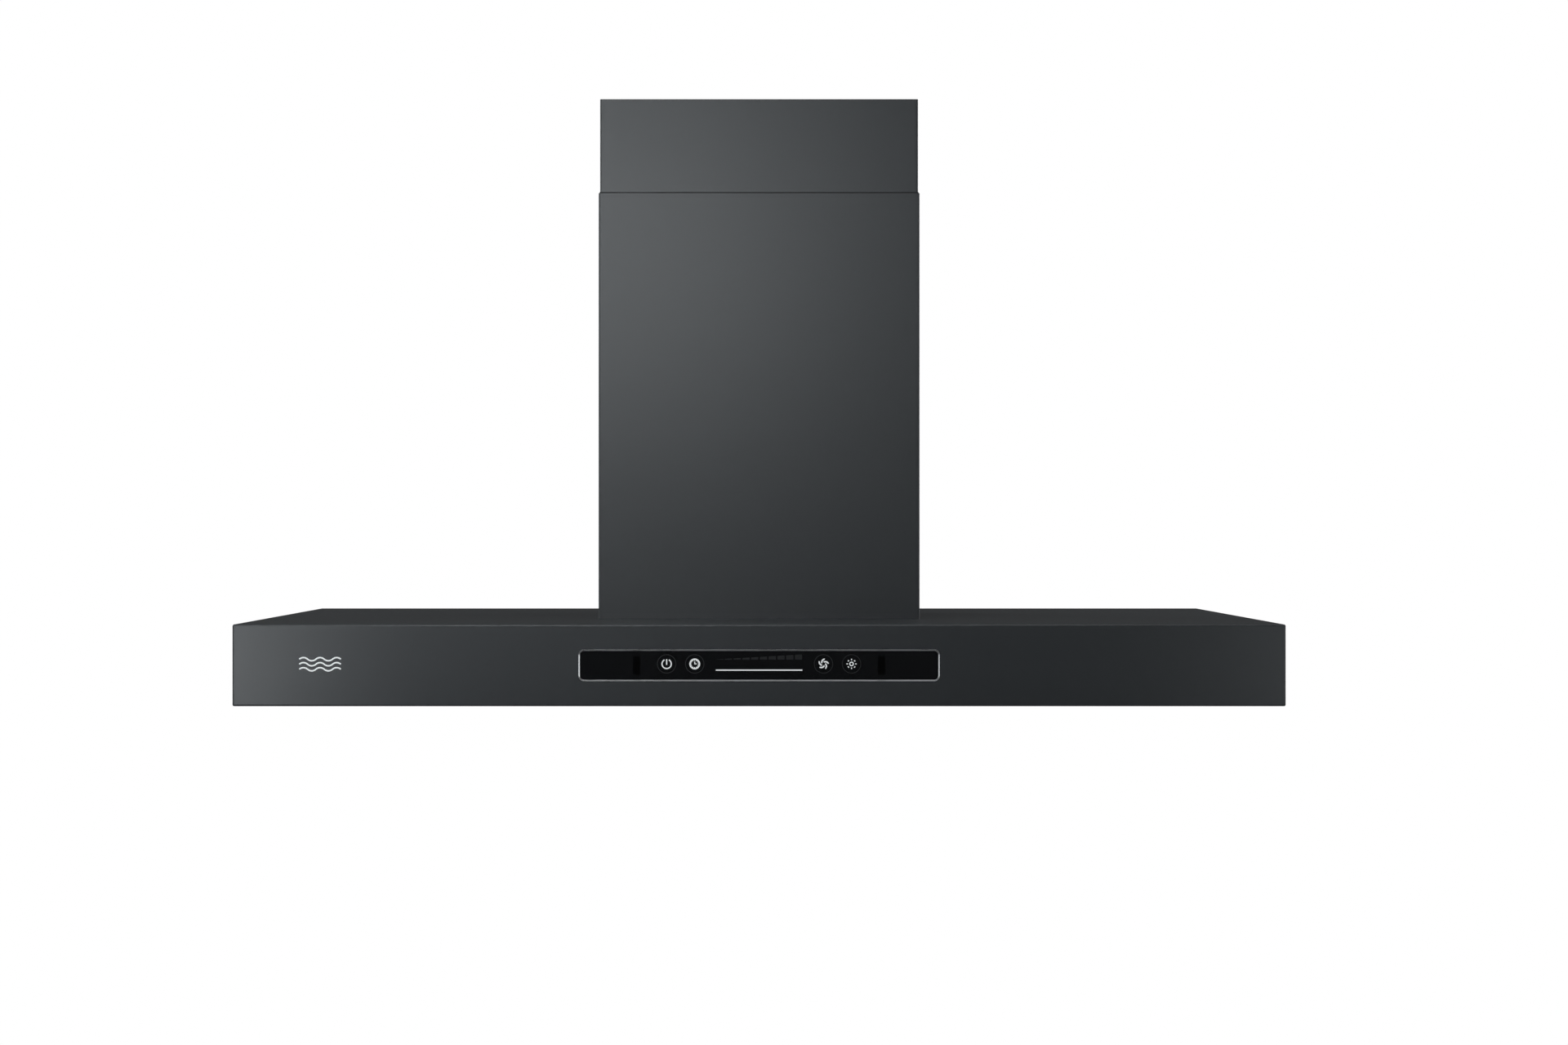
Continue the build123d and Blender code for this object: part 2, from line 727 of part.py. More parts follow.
# Motor bracket screws stand on this circle, at these angles
bracket_angles = (90, 210, 330)
bracket_screw_radius = inlet_radius + 8.0
bracket_screws = [
    at_angle((blower_x, blower_z), bracket_screw_radius, angle)
    for angle in bracket_angles
]
blower_axis = Axis((blower_x, 0, blower_z), (0, 1, 0))
hanger_length = 2 * outlet_half_width - 8.0

# Scroll plates, each with a drawn inlet lip and a hanger flange under the lid
for side, sign in (("front", -1), ("rear", 1)):
    inner_y = sign * scroll_width / 2
    with BuildPart() as scroll_plate:
        with BuildSketch(across(inner_y)):
            add(plate_outline)
            with Locations((blower_x, blower_z)):
                Circle(inlet_radius, mode=Mode.SUBTRACT)
        extrude(amount=-sign * scroll_sheet)
        with BuildSketch(across(inner_y + sign * scroll_sheet)):
            with Locations((blower_x, blower_z)):
                Circle(inlet_radius)
                Circle(inlet_radius - scroll_sheet, mode=Mode.SUBTRACT)
        extrude(amount=sign * (inlet_lip + scroll_sheet))
        with BuildSketch(level(lid_bottom - scroll_sheet)):
            with Locations((0, sign * hanger_y)):
                Rectangle(hanger_length, hanger_depth)
                with GridLocations(hanger_pitch, 0, 2, 1):
                    Circle(screw_hole, mode=Mode.SUBTRACT)
        extrude(amount=scroll_sheet)
        if side == "rear":
            with BuildSketch(across(inner_y)):
                with Locations(*bracket_screws):
                    Circle(screw_hole)
            extrude(amount=scroll_width / 4, both=True, mode=Mode.SUBTRACT)
    scroll_plate.part.label = f"scroll_{side}_plate"
    export_step(scroll_plate.part, f"parts/scroll_{side}_plate.step")


def blower_plane(y):
    return Plane(origin=(blower_x, y, blower_z), x_dir=(1, 0, 0), z_dir=(0, -1, 0))


def turned(*points):
    # a solid of revolution about the blower's axis, from points of radius and y
    with BuildPart() as piece:
        with BuildSketch(Plane(origin=(blower_x, 0, blower_z))):
            with BuildLine():
                Polyline(*points, close=True)
            make_face()
        revolve(axis=blower_axis)
    return piece.part


# Impeller: forward-curved blades between two end rings and a middle disc with its hub
hub_radius = 11.0
hub_length = 24.0
disc_sheet = 1.5
ring_sheet = 2.0
ring_depth = 4.0
blade_inner = impeller_radius - 1 - blade_depth
blade_sweep = 9.0
blade_curve = 11.0
fit_gap = 0.02
with BuildPart() as impeller:
    with BuildSketch(blower_plane(0)) as blades:
        with BuildLine():
            RadiusArc((blade_inner, 0), at_angle((0, 0), impeller_radius - 1, blade_sweep), blade_curve)
        trace(line_width=blade_sheet)
    blade_faces = blades.sketch_local
    with BuildSketch(blower_plane(0)):
        with PolarLocations(0, blade_count):
            add(blade_faces)
    extrude(amount=impeller_width / 2 - ring_sheet / 2, both=True)
    with BuildSketch(blower_plane(0)):
        Circle(impeller_radius)
    extrude(amount=disc_sheet / 2, both=True)
    for sign in (-1, 1):
        with BuildSketch(blower_plane(sign * (impeller_width / 2 - ring_sheet))):
            Circle(impeller_radius)
            Circle(impeller_radius - ring_depth, mode=Mode.SUBTRACT)
        extrude(amount=-sign * ring_sheet)
    with BuildSketch(blower_plane(0)):
        Circle(hub_radius)
    extrude(amount=hub_length)
    with BuildSketch(blower_plane(0)):
        Circle(shaft_radius + fit_gap)
    extrude(amount=impeller_width, both=True, mode=Mode.SUBTRACT)
impeller.part.label = "impeller"
export_step(impeller.part, "parts/impeller.step")

# Motor: shaft and rotor turn, the housing, windings and bearings stand still
motor_rear = motor_front + motor_length
shaft_tail = 4.0
with BuildPart() as motor_shaft:
    add(turned(
        (0, -hub_length - shaft_tail),
        (shaft_radius, -hub_length - shaft_tail),
        (shaft_radius, motor_rear + shaft_tail),
        (0, motor_rear + shaft_tail),
    ))
motor_shaft.part.label = "motor_shaft"
export_step(motor_shaft.part, "parts/motor_shaft.step")

rotor_margin = 22.0
with BuildPart() as motor_rotor:
    add(turned(
        (shaft_radius + fit_gap, motor_front + rotor_margin),
        (rotor_radius, motor_front + rotor_margin),
        (rotor_radius, motor_rear - rotor_margin),
        (shaft_radius + fit_gap, motor_rear - rotor_margin),
    ))
motor_rotor.part.label = "motor_rotor"
export_step(motor_rotor.part, "parts/motor_rotor.step")

seat_wall = 2.0
seat_outer = bearing_radius + fit_gap + seat_wall
shaft_hole = shaft_radius + 1
shell_inner = motor_radius - motor_wall
with BuildPart() as motor_housing:
    add(turned(
        (shaft_hole, motor_front),
        (motor_radius, motor_front),
        (motor_radius, motor_rear),
        (shaft_hole, motor_rear),
        (shaft_hole, motor_rear - motor_wall),
        (bearing_radius + fit_gap, motor_rear - motor_wall),
        (bearing_radius + fit_gap, motor_rear - motor_wall - bearing_length),
        (seat_outer, motor_rear - motor_wall - bearing_length),
        (seat_outer, motor_rear - motor_wall),
        (shell_inner, motor_rear - motor_wall),
        (shell_inner, motor_front + motor_wall),
        (seat_outer, motor_front + motor_wall),
        (seat_outer, motor_front + motor_wall + bearing_length),
        (bearing_radius + fit_gap, motor_front + motor_wall + bearing_length),
        (bearing_radius + fit_gap, motor_front + motor_wall),
        (shaft_hole, motor_front + motor_wall),
    ))
    with BuildSketch(blower_plane(motor_rear)):
        with PolarLocations(motor_radius * 0.62, 6, start_angle=30):
            Circle(3.0)
    extrude(amount=2 * motor_wall, mode=Mode.SUBTRACT)
motor_housing.part.label = "motor_housing"
export_step(motor_housing.part, "parts/motor_housing.step")

winding_margin = 17.0
stator_bore = rotor_radius + 0.8
with BuildPart() as motor_stator:
    add(turned(
        (stator_bore, motor_front + winding_margin),
        (shell_inner - 6, motor_front + winding_margin),
        (shell_inner - 6, motor_front + rotor_margin),
        (shell_inner - fit_gap, motor_front + rotor_margin),
        (shell_inner - fit_gap, motor_rear - rotor_margin),
        (shell_inner - 6, motor_rear - rotor_margin),
        (shell_inner - 6, motor_rear - winding_margin),
        (stator_bore, motor_rear - winding_margin),
    ))
motor_stator.part.label = "motor_stator"
export_step(motor_stator.part, "parts/motor_stator.step")

with BuildPart() as motor_bearings:
    for start in (motor_front + motor_wall, motor_rear - motor_wall - bearing_length):
        add(turned(
            (shaft_radius + running_gap, start),
            (bearing_radius, start),
            (bearing_radius, start + bearing_length),
            (shaft_radius + running_gap, start + bearing_length),
        ))
motor_bearings.part.label = "motor_bearings"
export_step(motor_bearings.part, "parts/motor_bearings.step")

# Bracket: a clamp ring round the motor with three arms across the rear inlet
bracket_start = scroll_width / 2 + scroll_sheet
bracket_ring_length = 15.0
bracket_arm_width = 14.0
arm_end = bracket_screw_radius + 7.0
bracket_bore = motor_radius + running_gap
with BuildPart() as motor_bracket:
    with BuildSketch(blower_plane(bracket_start)):
        with Locations(*[Rotation(0, 0, angle) for angle in bracket_angles]):
            with Locations((arm_end / 2, 0)):
                Rectangle(arm_end, bracket_arm_width)
        Circle(bracket_bore, mode=Mode.SUBTRACT)
        with Locations(*[at_angle((0, 0), bracket_screw_radius, angle) for angle in bracket_angles]):
            Circle(screw_hole, mode=Mode.SUBTRACT)
    extrude(amount=-bracket_sheet)
    with BuildSketch(blower_plane(bracket_start)):
        Circle(bracket_bore + bracket_sheet)
        Circle(bracket_bore, mode=Mode.SUBTRACT)
    extrude(amount=-bracket_ring_length)
motor_bracket.part.label = "motor_bracket"
export_step(motor_bracket.part, "parts/motor_bracket.step")

with BuildPart() as blower_screws:
    with Locations(*[
        facing(sx * hanger_pitch / 2, sy * hanger_y, lid_top, (0, 0, 1))
        for sx, sy in corners
    ]):
        add(sheet_screw)
    with Locations(*[facing(x, bracket_start + bracket_sheet, z, (0, 1, 0)) for x, z in bracket_screws]):
        add(frame_screw)
blower_screws.part.label = "blower_screws"
export_step(blower_screws.part, "parts/blower_screws.step")

# Run capacitor, on a foot that stands against the air box wall
capacitor_radius = 14.0
capacitor_length = 52.0
capacitor_x = 96.0
capacitor_z = canopy_top + 60.0
capacitor_foot = 2.0
box_inner_y = air_box_size[1] / 2 - box_sheet
capacitor_y = -(box_inner_y - capacitor_foot - capacitor_radius)
with BuildPart() as capacitor:
    with BuildSketch(level(capacitor_z)):
        with Locations((capacitor_x, capacitor_y)):
            Circle(capacitor_radius)
    extrude(amount=capacitor_length)
    fillet(capacitor.edges().filter_by(GeomType.CIRCLE), 1.5)
    with BuildSketch(level(capacitor_z + capacitor_length)):
        with Locations((capacitor_x, capacitor_y)):
            with GridLocations(10, 0, 2, 1):
                Rectangle(6.3, 0.8)
    extrude(amount=8)
    with Locations((capacitor_x, capacitor_y - capacitor_radius / 2 - capacitor_foot / 2, capacitor_z + 10)):
        Box(capacitor_radius, capacitor_radius + capacitor_foot, 14)
capacitor.part.label = "capacitor"
export_step(capacitor.part, "parts/capacitor.step")

# Canopy shell: a folded box with a return flange round the bottom and the panel cut-out in front
cutout_gap = 0.2
cutout_width = bezel_width + 2 * cutout_gap
cutout_height = bezel_height + 2 * cutout_gap
liner_screw_pitch_x = (hood_width - return_flange) / 4
liner_screw_pitch_y = (hood_depth - return_flange) / 3
liner_screw_spots = [
    (sx * (i - 1.5) * liner_screw_pitch_x, sy * (hood_depth - return_flange) / 2)
    for i in range(4)
    for sx, sy in ((1, -1), (1, 1))
] + [
    (sx * (hood_width - return_flange) / 2, (i - 0.5) * liner_screw_pitch_y)
    for i in range(2)
    for sx in (-1, 1)
]
liner_screw_places = [facing(x, y, canopy_bottom, (0, 0, -1)) for x, y in liner_screw_spots]
with BuildPart() as canopy_shell:
    with BuildSketch(level(canopy_bottom)):
        RectangleRounded(hood_width, hood_depth, shell_bend)
    extrude(amount=canopy_height)
    fillet(canopy_shell.faces().sort_by(Axis.Z)[-1].edges(), shell_bend)
    fillet(canopy_shell.faces().sort_by(Axis.Z)[0].edges(), shell_bend)
    with BuildSketch(level(canopy_bottom + shell_sheet)):
        RectangleRounded(hood_width - 2 * shell_sheet, hood_depth - 2 * shell_sheet, shell_bend - shell_sheet)
    extrude(amount=canopy_height - 2 * shell_sheet, mode=Mode.SUBTRACT)
    with BuildSketch(level(canopy_bottom)):
        Rectangle(hood_width - 2 * return_flange, hood_depth - 2 * return_flange)
    extrude(amount=shell_sheet, mode=Mode.SUBTRACT)
    with Locations(*liner_screw_places):
        add(low_hole, mode=Mode.SUBTRACT)
    with BuildSketch(level(canopy_top - shell_sheet)):
        Rectangle(*canopy_opening)
        with GridLocations(foot_screw_pitch, 2 * foot_screw_y, 4, 2):
            Circle(screw_hole)
        with GridLocations(2 * cover_foot_x, cover_foot_pitch, 2, 2):
            Circle(screw_hole)
    extrude(amount=shell_sheet, mode=Mode.SUBTRACT)
    with BuildSketch(across(-front)):
        with Locations((0, control_z)):
            RectangleRounded(cutout_width, cutout_height, bezel_corner + cutout_gap)
    extrude(amount=-shell_sheet, mode=Mode.SUBTRACT)
canopy_shell.part.label = "canopy_shell"
export_step(canopy_shell.part, "parts/canopy_shell.step")

# Underside liner: rests on the return flange, rises to a recessed pan with the filter opening
opening_width = hood_width - 2 * opening_margin_x
opening_depth = hood_depth - 2 * opening_margin_y
lamp_x = hood_width / 2 - lamp_inset_x
lamp_y = hood_depth / 2 - lamp_inset_y
skirt_size = (hood_width - 2 * return_flange, hood_depth - 2 * return_flange)
liner_size = shrink((hood_width, hood_depth), shell_sheet + liner_clearance)
side_lip_height = 8.0
flange_bottom = canopy_bottom + shell_sheet
with BuildPart() as underside_liner:
    with BuildSketch(level(flange_bottom)):
        Rectangle(*liner_size)
        Rectangle(*shrink(skirt_size, liner_sheet), mode=Mode.SUBTRACT)
    extrude(amount=liner_sheet)
    with Locations(*liner_screw_places):
        add(low_hole, mode=Mode.SUBTRACT)
    with BuildSketch(level(flange_bottom)):
        Rectangle(*skirt_size)
        Rectangle(*shrink(skirt_size, liner_sheet), mode=Mode.SUBTRACT)
    extrude(amount=pan_top - flange_bottom)
    with BuildSketch(level(pan_bottom)):
        Rectangle(*skirt_size)
        Rectangle(opening_width, opening_depth, mode=Mode.SUBTRACT)
        with GridLocations(2 * lamp_x, 2 * lamp_y, 2, 2):
            Circle(lamp_radius + cutout_gap, mode=Mode.SUBTRACT)
    extrude(amount=liner_sheet)
    with BuildSketch(level(pan_bottom)):
        with GridLocations(opening_width + liner_sheet, 0, 2, 1):
            Rectangle(liner_sheet, opening_depth)
    extrude(amount=liner_sheet + side_lip_height)
underside_liner.part.label = "underside_liner"
export_step(underside_liner.part, "parts/underside_liner.step")

with BuildPart() as liner_screws:
    with Locations(*liner_screw_places):
        add(low_screw)
liner_screws.part.label = "liner_screws"
export_step(liner_screws.part, "parts/liner_screws.step")

# Control panel: bezel, glass, circuit board and the carrier behind them
bezel_opening = (bezel_width - 2 * bezel_rim, bezel_height - 2 * bezel_rim)
bezel_inner_corner = bezel_corner - bezel_rim
bezel_back = shell_sheet + bezel_flange_sheet
ear_reach = 8.0
flange_size = (cutout_width + 2 * bezel_flange + 2 * ear_reach, cutout_height + 2 * bezel_flange)
carrier_screw_x = cutout_width / 2 + bezel_flange + ear_reach / 2
rim_land = 0.2
with BuildPart() as control_bezel:
    with BuildSketch(across(-front)):
        with Locations((0, control_z)):
            RectangleRounded(bezel_width, bezel_height, bezel_corner)
    extrude(amount=-bezel_back)
    with BuildSketch(across(-front + shell_sheet)):
        with Locations((0, control_z)):
            RectangleRounded(*flange_size, bezel_corner)
    extrude(amount=-bezel_flange_sheet)
    with BuildSketch(across(-front)):
        with Locations((0, control_z)):
            RectangleRounded(*bezel_opening, bezel_inner_corner)
    extrude(amount=-bezel_back, mode=Mode.SUBTRACT)
    rim_edges = control_bezel.faces().sort_by(Axis.Y)[0].inner_wires()[0].edges()
    chamfer(rim_edges, bezel_rim - rim_land)
    with BuildSketch(across(-front)):
        with Locations((0, control_z)):
            with GridLocations(2 * carrier_screw_x, 0, 2, 1):
                Circle(small_screw_hole)
    extrude(amount=-bezel_back, mode=Mode.SUBTRACT)
control_bezel.part.label = "control_bezel"
export_step(control_bezel.part, "parts/control_bezel.step")

glass_size = shrink(bezel_opening, glass_gap)
glass_back = glass_recess + glass_thickness
with BuildPart() as control_glass:
    with BuildSketch(across(-front + glass_recess)):
        with Locations((0, control_z)):
            RectangleRounded(*glass_size, bezel_inner_corner - glass_gap)
    extrude(amount=-glass_thickness)
    chamfer(control_glass.faces().sort_by(Axis.Y)[0].edges(), 0.3)
control_glass.part.label = "control_glass"
export_step(control_glass.part, "parts/control_glass.step")

carrier_depth = 12.0
carrier_wall = 2.0
ear_sheet = 3.0
carrier_size = (cutout_width + 2 * bezel_flange, flange_size[1])
board_size = shrink(glass_size, 2.4)
board_gap = 0.4
plug_x = 60.0
plug_size = (16.0, 9.0)
control_cable_z = control_z
with BuildPart() as control_carrier:
    with BuildSketch(across(-front + bezel_back)):
        with Locations((0, control_z)):
            RectangleRounded(*carrier_size, bezel_corner)
    extrude(amount=-carrier_depth)
    with BuildSketch(across(-front + bezel_back)):
        with Locations((0, control_z)):
            RectangleRounded(*flange_size, bezel_corner)
    extrude(amount=-ear_sheet)
    with BuildSketch(across(-front + bezel_back)):
        with Locations((0, control_z)):
            RectangleRounded(*shrink(glass_size, -glass_gap), bezel_inner_corner)
    extrude(amount=-(glass_back - bezel_back), mode=Mode.SUBTRACT)
    with BuildSketch(across(-front + bezel_back)):
        with Locations((0, control_z)):
            Rectangle(*shrink(board_size, -board_gap))
    extrude(amount=-(carrier_depth - carrier_wall), mode=Mode.SUBTRACT)
    with BuildSketch(across(-front + bezel_back)):
        with Locations((0, control_z)):
            with GridLocations(2 * carrier_screw_x, 0, 2, 1):
                Circle(small_screw_hole)
        with Locations((plug_x, control_cable_z)):
            Rectangle(*plug_size)
    extrude(amount=-2 * carrier_depth, mode=Mode.SUBTRACT)
control_carrier.part.label = "control_carrier"
export_step(control_carrier.part, "parts/control_carrier.step")

# Touch board against the back of the glass, with its chips and plug behind it
board_front = -front + glass_back
board_rear = board_front + board_thickness
plug_depth = 6.0
with BuildPart() as touch_board:
    with BuildSketch(across(board_front)):
        with Locations((0, control_z)):
            Rectangle(*board_size)
    extrude(amount=-board_thickness)
    with BuildSketch(across(board_rear)):
        with Locations((-60, control_z), (-10, control_z)):
            Rectangle(10, 10)
        with Locations((-100, control_z), (-85, control_z), (20, control_z), (100, control_z)):
            Rectangle(4, 6)
    extrude(amount=-1.4)
    with BuildSketch(across(board_rear)):
        with Locations((plug_x, control_cable_z)):
            Rectangle(*shrink(plug_size, 1))
    extrude(amount=-plug_depth)
touch_board.part.label = "touch_board"
export_step(touch_board.part, "parts/touch_board.step")

with BuildPart() as carrier_screws:
    with Locations(*[
        facing(sx * carrier_screw_x, -front + bezel_back + ear_sheet, control_z, (0, 1, 0))
        for sx in (-1, 1)
    ]):
        add(pan_screw(3.0, ear_sheet + bezel_flange_sheet, 5.5, 1.8))
carrier_screws.part.label = "carrier_screws"
export_step(carrier_screws.part, "parts/carrier_screws.step")

# Lamps: bezel from below, frosted lens, light board, finned housing and spring clips
bezel_lip = 1.4
lamp_bezel_radius = lamp_radius + 5.0
lamp_tube_wall = 2.0
lens_ledge = 2.0
lens_radius = lamp_radius - lamp_tube_wall - 0.1
lens_thickness = 2.5
lamp_tube_height = 9.0
lamp_housing_height = 18.0
lamp_board_radius = lens_radius - 0.2
fin_count = 12
fin_gap = 2.2
fin_base = 5.0
lamp_spots = [(sx * lamp_x, sy * lamp_y, pan_bottom) for sx, sy in corners]


def lamp_turned(*points):
    # a solid of revolution about a lamp's axis, from points of radius and height
    with BuildPart() as piece:
        with BuildSketch(Plane.XZ):
            with BuildLine():
                Polyline(*points, close=True)
            make_face()
        revolve(axis=Axis.Z)
    return piece.part


lamp_bezel = lamp_turned(
    (lamp_radius - lamp_tube_wall - lens_ledge, -bezel_lip),
    (lamp_bezel_radius - 1, -bezel_lip),
    (lamp_bezel_radius, -bezel_lip + 1),
    (lamp_bezel_radius, 0),
    (lamp_radius, 0),
    (lamp_radius, lamp_tube_height),
    (lamp_radius - lamp_tube_wall, lamp_tube_height),
    (lamp_radius - lamp_tube_wall, -bezel_lip + 1),
    (lamp_radius - lamp_tube_wall - lens_ledge, -bezel_lip + 1),
)
with BuildPart() as lamp_bezels:
    with Locations(*lamp_spots):
        add(lamp_bezel)
lamp_bezels.part.label = "lamp_bezels"
export_step(lamp_bezels.part, "parts/lamp_bezels.step")

lamp_lens = lamp_turned(
    (0, -bezel_lip + 1),
    (lens_radius, -bezel_lip + 1),
    (lens_radius, -bezel_lip + 1 + lens_thickness),
    (0, -bezel_lip + 1 + lens_thickness),
)
with BuildPart() as lamp_lenses:
    with Locations(*lamp_spots):
        add(lamp_lens)
lamp_lenses.part.label = "lamp_lenses"
export_step(lamp_lenses.part, "parts/lamp_lenses.step")

lamp_cable_radius = 1.5
board_recess = board_thickness + 0.4
with BuildPart() as lamp_housing:
    add(lamp_turned(
        (lamp_cable_radius + 0.5, lamp_tube_height + board_recess),
        (lamp_board_radius + 0.1, lamp_tube_height + board_recess),
        (lamp_board_radius + 0.1, lamp_tube_height),
        (lamp_radius, lamp_tube_height),
        (lamp_radius, lamp_tube_height + lamp_housing_height),
        (lamp_cable_radius + 0.5, lamp_tube_height + lamp_housing_height),
    ))
    with BuildSketch(Plane.XY.offset(lamp_tube_height + board_recess + fin_base)):
        with PolarLocations(lamp_radius * 0.8, fin_count, start_angle=180 / fin_count):
            Rectangle(lamp_radius * 0.7, fin_gap)
    extrude(amount=lamp_housing_height, mode=Mode.SUBTRACT)
with BuildPart() as lamp_housings:
    with Locations(*lamp_spots):
        add(lamp_housing.part)
lamp_housings.part.label = "lamp_housings"
export_step(lamp_housings.part, "parts/lamp_housings.step")

with BuildPart() as lamp_board:
    with BuildSketch(Plane.XY.offset(lamp_tube_height + board_recess - board_thickness)):
        Circle(lamp_board_radius)
    extrude(amount=board_thickness)
    with BuildSketch(Plane.XY.offset(lamp_tube_height + board_recess - board_thickness)):
        with PolarLocations(lamp_board_radius * 0.6, 6):
            Rectangle(3.5, 2.8)
        Rectangle(3.5, 2.8)
    extrude(amount=-0.8)
with BuildPart() as lamp_boards:
    with Locations(*lamp_spots):
        add(lamp_board.part)
lamp_boards.part.label = "lamp_boards"
export_step(lamp_boards.part, "parts/lamp_boards.step")

clip_sheet = 0.8
clip_width = 8.0
clip_top = lamp_tube_height + lamp_housing_height - 2
clip_line = lamp_radius + clip_sheet / 2
clip_foot = liner_sheet + clip_sheet / 2
with BuildPart() as lamp_clip:
    with BuildSketch(Plane.XZ.offset(-clip_width / 2)):
        for sign in (-1, 1):
            with BuildLine():
                Polyline(
                    (sign * clip_line, clip_top),
                    (sign * clip_line, clip_top - 9),
                    (sign * (clip_line + 9), clip_foot),
                    (sign * (clip_line + 14), clip_foot),
                )
            trace(line_width=clip_sheet)
    extrude(amount=clip_width)
with BuildPart() as lamp_clips:
    with Locations(*lamp_spots):
        add(lamp_clip.part)
lamp_clips.part.label = "lamp_clips"
export_step(lamp_clips.part, "parts/lamp_clips.step")

# Electronics box under the canopy's top, beside the filter opening
box_width = 50.0
box_length = 236.0
box_height = 38.0
box_wall = 1.5
box_edge_gap = 19.0
box_x = hood_width / 2 - shell_sheet - box_edge_gap - box_width / 2
box_top = canopy_top - shell_sheet
post_radius = 3.0
post_height = 5.0
post_pitch = (32.0, 190.0)
lamp_near_drop = 13.0
lamp_far_drop = 7.0
near_cable_x = box_x - 13.0
far_cable_x = box_x - 6.0
motor_cable_radius = 2.5
motor_cable_drop = 17.0
control_cable_radius = 2.0
cable_hole = motor_cable_radius + 0.4
lamp_cable_holes = ((near_cable_x, box_top - lamp_near_drop), (far_cable_x, box_top - lamp_far_drop))
motor_cable_y = canopy_opening[1] / 2 - motor_cable_radius - 1.0
control_cable_x = box_x
with BuildPart() as electronics_box:
    with BuildSketch(level(box_top - box_height)):
        with Locations((box_x, 0)):
            Rectangle(box_width, box_length)
    extrude(amount=box_height)
    with BuildSketch(level(box_top - box_height)):
        with Locations((box_x, 0)):
            Rectangle(box_width - 2 * box_wall, box_length - 2 * box_wall)
    extrude(amount=box_height - box_wall, mode=Mode.SUBTRACT)
    with BuildSketch(level(box_top - box_wall - post_height)):
        with Locations((box_x, 0)):
            with GridLocations(*post_pitch, 2, 2):
                Circle(post_radius)
    extrude(amount=post_height)
    with BuildSketch(across(-box_length / 2)):
        with Locations(*lamp_cable_holes, (control_cable_x, control_cable_z)):
            Circle(cable_hole)
    extrude(amount=-box_wall, mode=Mode.SUBTRACT)
    with BuildSketch(across(box_length / 2)):
        with Locations(*lamp_cable_holes):
            Circle(cable_hole)
    extrude(amount=box_wall, mode=Mode.SUBTRACT)
    with BuildSketch(from_side(box_x - box_width / 2)):
        with Locations((motor_cable_y, box_top - motor_cable_drop)):
            Circle(cable_hole)
    extrude(amount=box_wall, mode=Mode.SUBTRACT)
electronics_box.part.label = "electronics_box"
export_step(electronics_box.part, "parts/electronics_box.step")

lid_sheet = 1.5
lid_rim = 6.0
with BuildPart() as electronics_lid:
    with BuildSketch(level(box_top - box_height - lid_sheet)):
        with Locations((box_x, 0)):
            Rectangle(box_width, box_length)
    extrude(amount=lid_sheet)
    with BuildSketch(level(box_top - box_height)):
        with Locations((box_x, 0)):
            Rectangle(box_width - 2 * box_wall - 2 * hole_gap, box_length - 2 * box_wall - 2 * hole_gap)
            Rectangle(box_width - 4 * box_wall, box_length - 4 * box_wall, mode=Mode.SUBTRACT)
    extrude(amount=lid_rim - lid_sheet)
    with BuildSketch(across(0)):
        with Locations((control_cable_x, control_cable_z)):
            Circle(2 * control_cable_radius)
    extrude(amount=box_length, mode=Mode.SUBTRACT)
electronics_lid.part.label = "electronics_lid"
export_step(electronics_lid.part, "parts/electronics_lid.step")

power_board_top = box_top - box_wall - post_height
power_board_size = (40.0, 200.0)
with BuildPart() as power_board:
    with BuildSketch(level(power_board_top - board_thickness)):
        with Locations((box_x, 0)):
            Rectangle(*power_board_size)
    extrude(amount=board_thickness)
    with BuildSketch(level(power_board_top - board_thickness)):
        with Locations((box_x + 2, -10)):
            Rectangle(28, 36)
    extrude(amount=-20)
    with BuildSketch(level(power_board_top - board_thickness)):
        with Locations((box_x + 6, 30), (box_x + 6, 50), (box_x + 6, 70)):
            Rectangle(15, 18)
    extrude(amount=-14)
    with BuildSketch(level(power_board_top - board_thickness)):
        with Locations((box_x - 5, -50), (box_x + 9, -50)):
            Circle(5.5)
    extrude(amount=-17)
power_board.part.label = "power_board"
export_step(power_board.part, "parts/power_board.step")


# Internal wiring: straight runs joined by arcs, inside the hood all the way
def wire_run(radius, points, bends):
    with BuildPart() as wire:
        with BuildLine() as route:
            FilletPolyline(*points, radius=bends)
        start = route.wires()[0]
        with BuildSketch(Plane(origin=start @ 0, z_dir=start % 0)):
            Circle(radius)
        sweep(path=start)
    length = route.wires()[0].length
    ratio = wire.part.volume / (pi * radius**2 * length)
    print("wire length", round(length, 1), "bends", bends, "volume ratio", round(ratio, 4))
    return wire.part


cable_in_box = 4.0
plug_back = board_rear + plug_depth
control_run_y = -lamp_y - lamp_radius - control_cable_radius - 2.0
with BuildPart() as control_cable:
    add(wire_run(
        control_cable_radius,
        [
            (plug_x, plug_back, control_cable_z),
            (plug_x, control_run_y, control_cable_z),
            (control_cable_x, control_run_y, control_cable_z),
            (control_cable_x, -box_length / 2 + cable_in_box, control_cable_z),
        ],
        [18.0, 30.0],
    ))
control_cable.part.label = "control_cable"
export_step(control_cable.part, "parts/control_cable.step")

motor_cable_x = canopy_opening[0] / 2 - 13.0
motor_cable_z = box_top - motor_cable_drop
motor_exit = at_angle((blower_x, blower_z), motor_radius * 0.62, 30)
with BuildPart() as motor_cable:
    add(wire_run(
        motor_cable_radius,
        [
            (motor_exit[0], motor_rear - motor_wall, motor_exit[1]),
            (motor_exit[0], motor_cable_y, motor_exit[1]),
            (motor_cable_x, motor_cable_y, motor_exit[1]),
            (motor_cable_x, motor_cable_y, motor_cable_z),
            (box_x - box_width / 2 + cable_in_box, motor_cable_y, motor_cable_z),
        ],
        [15.0, 30.0, 30.0],
    ))
motor_cable.part.label = "motor_cable"
export_step(motor_cable.part, "parts/motor_cable.step")

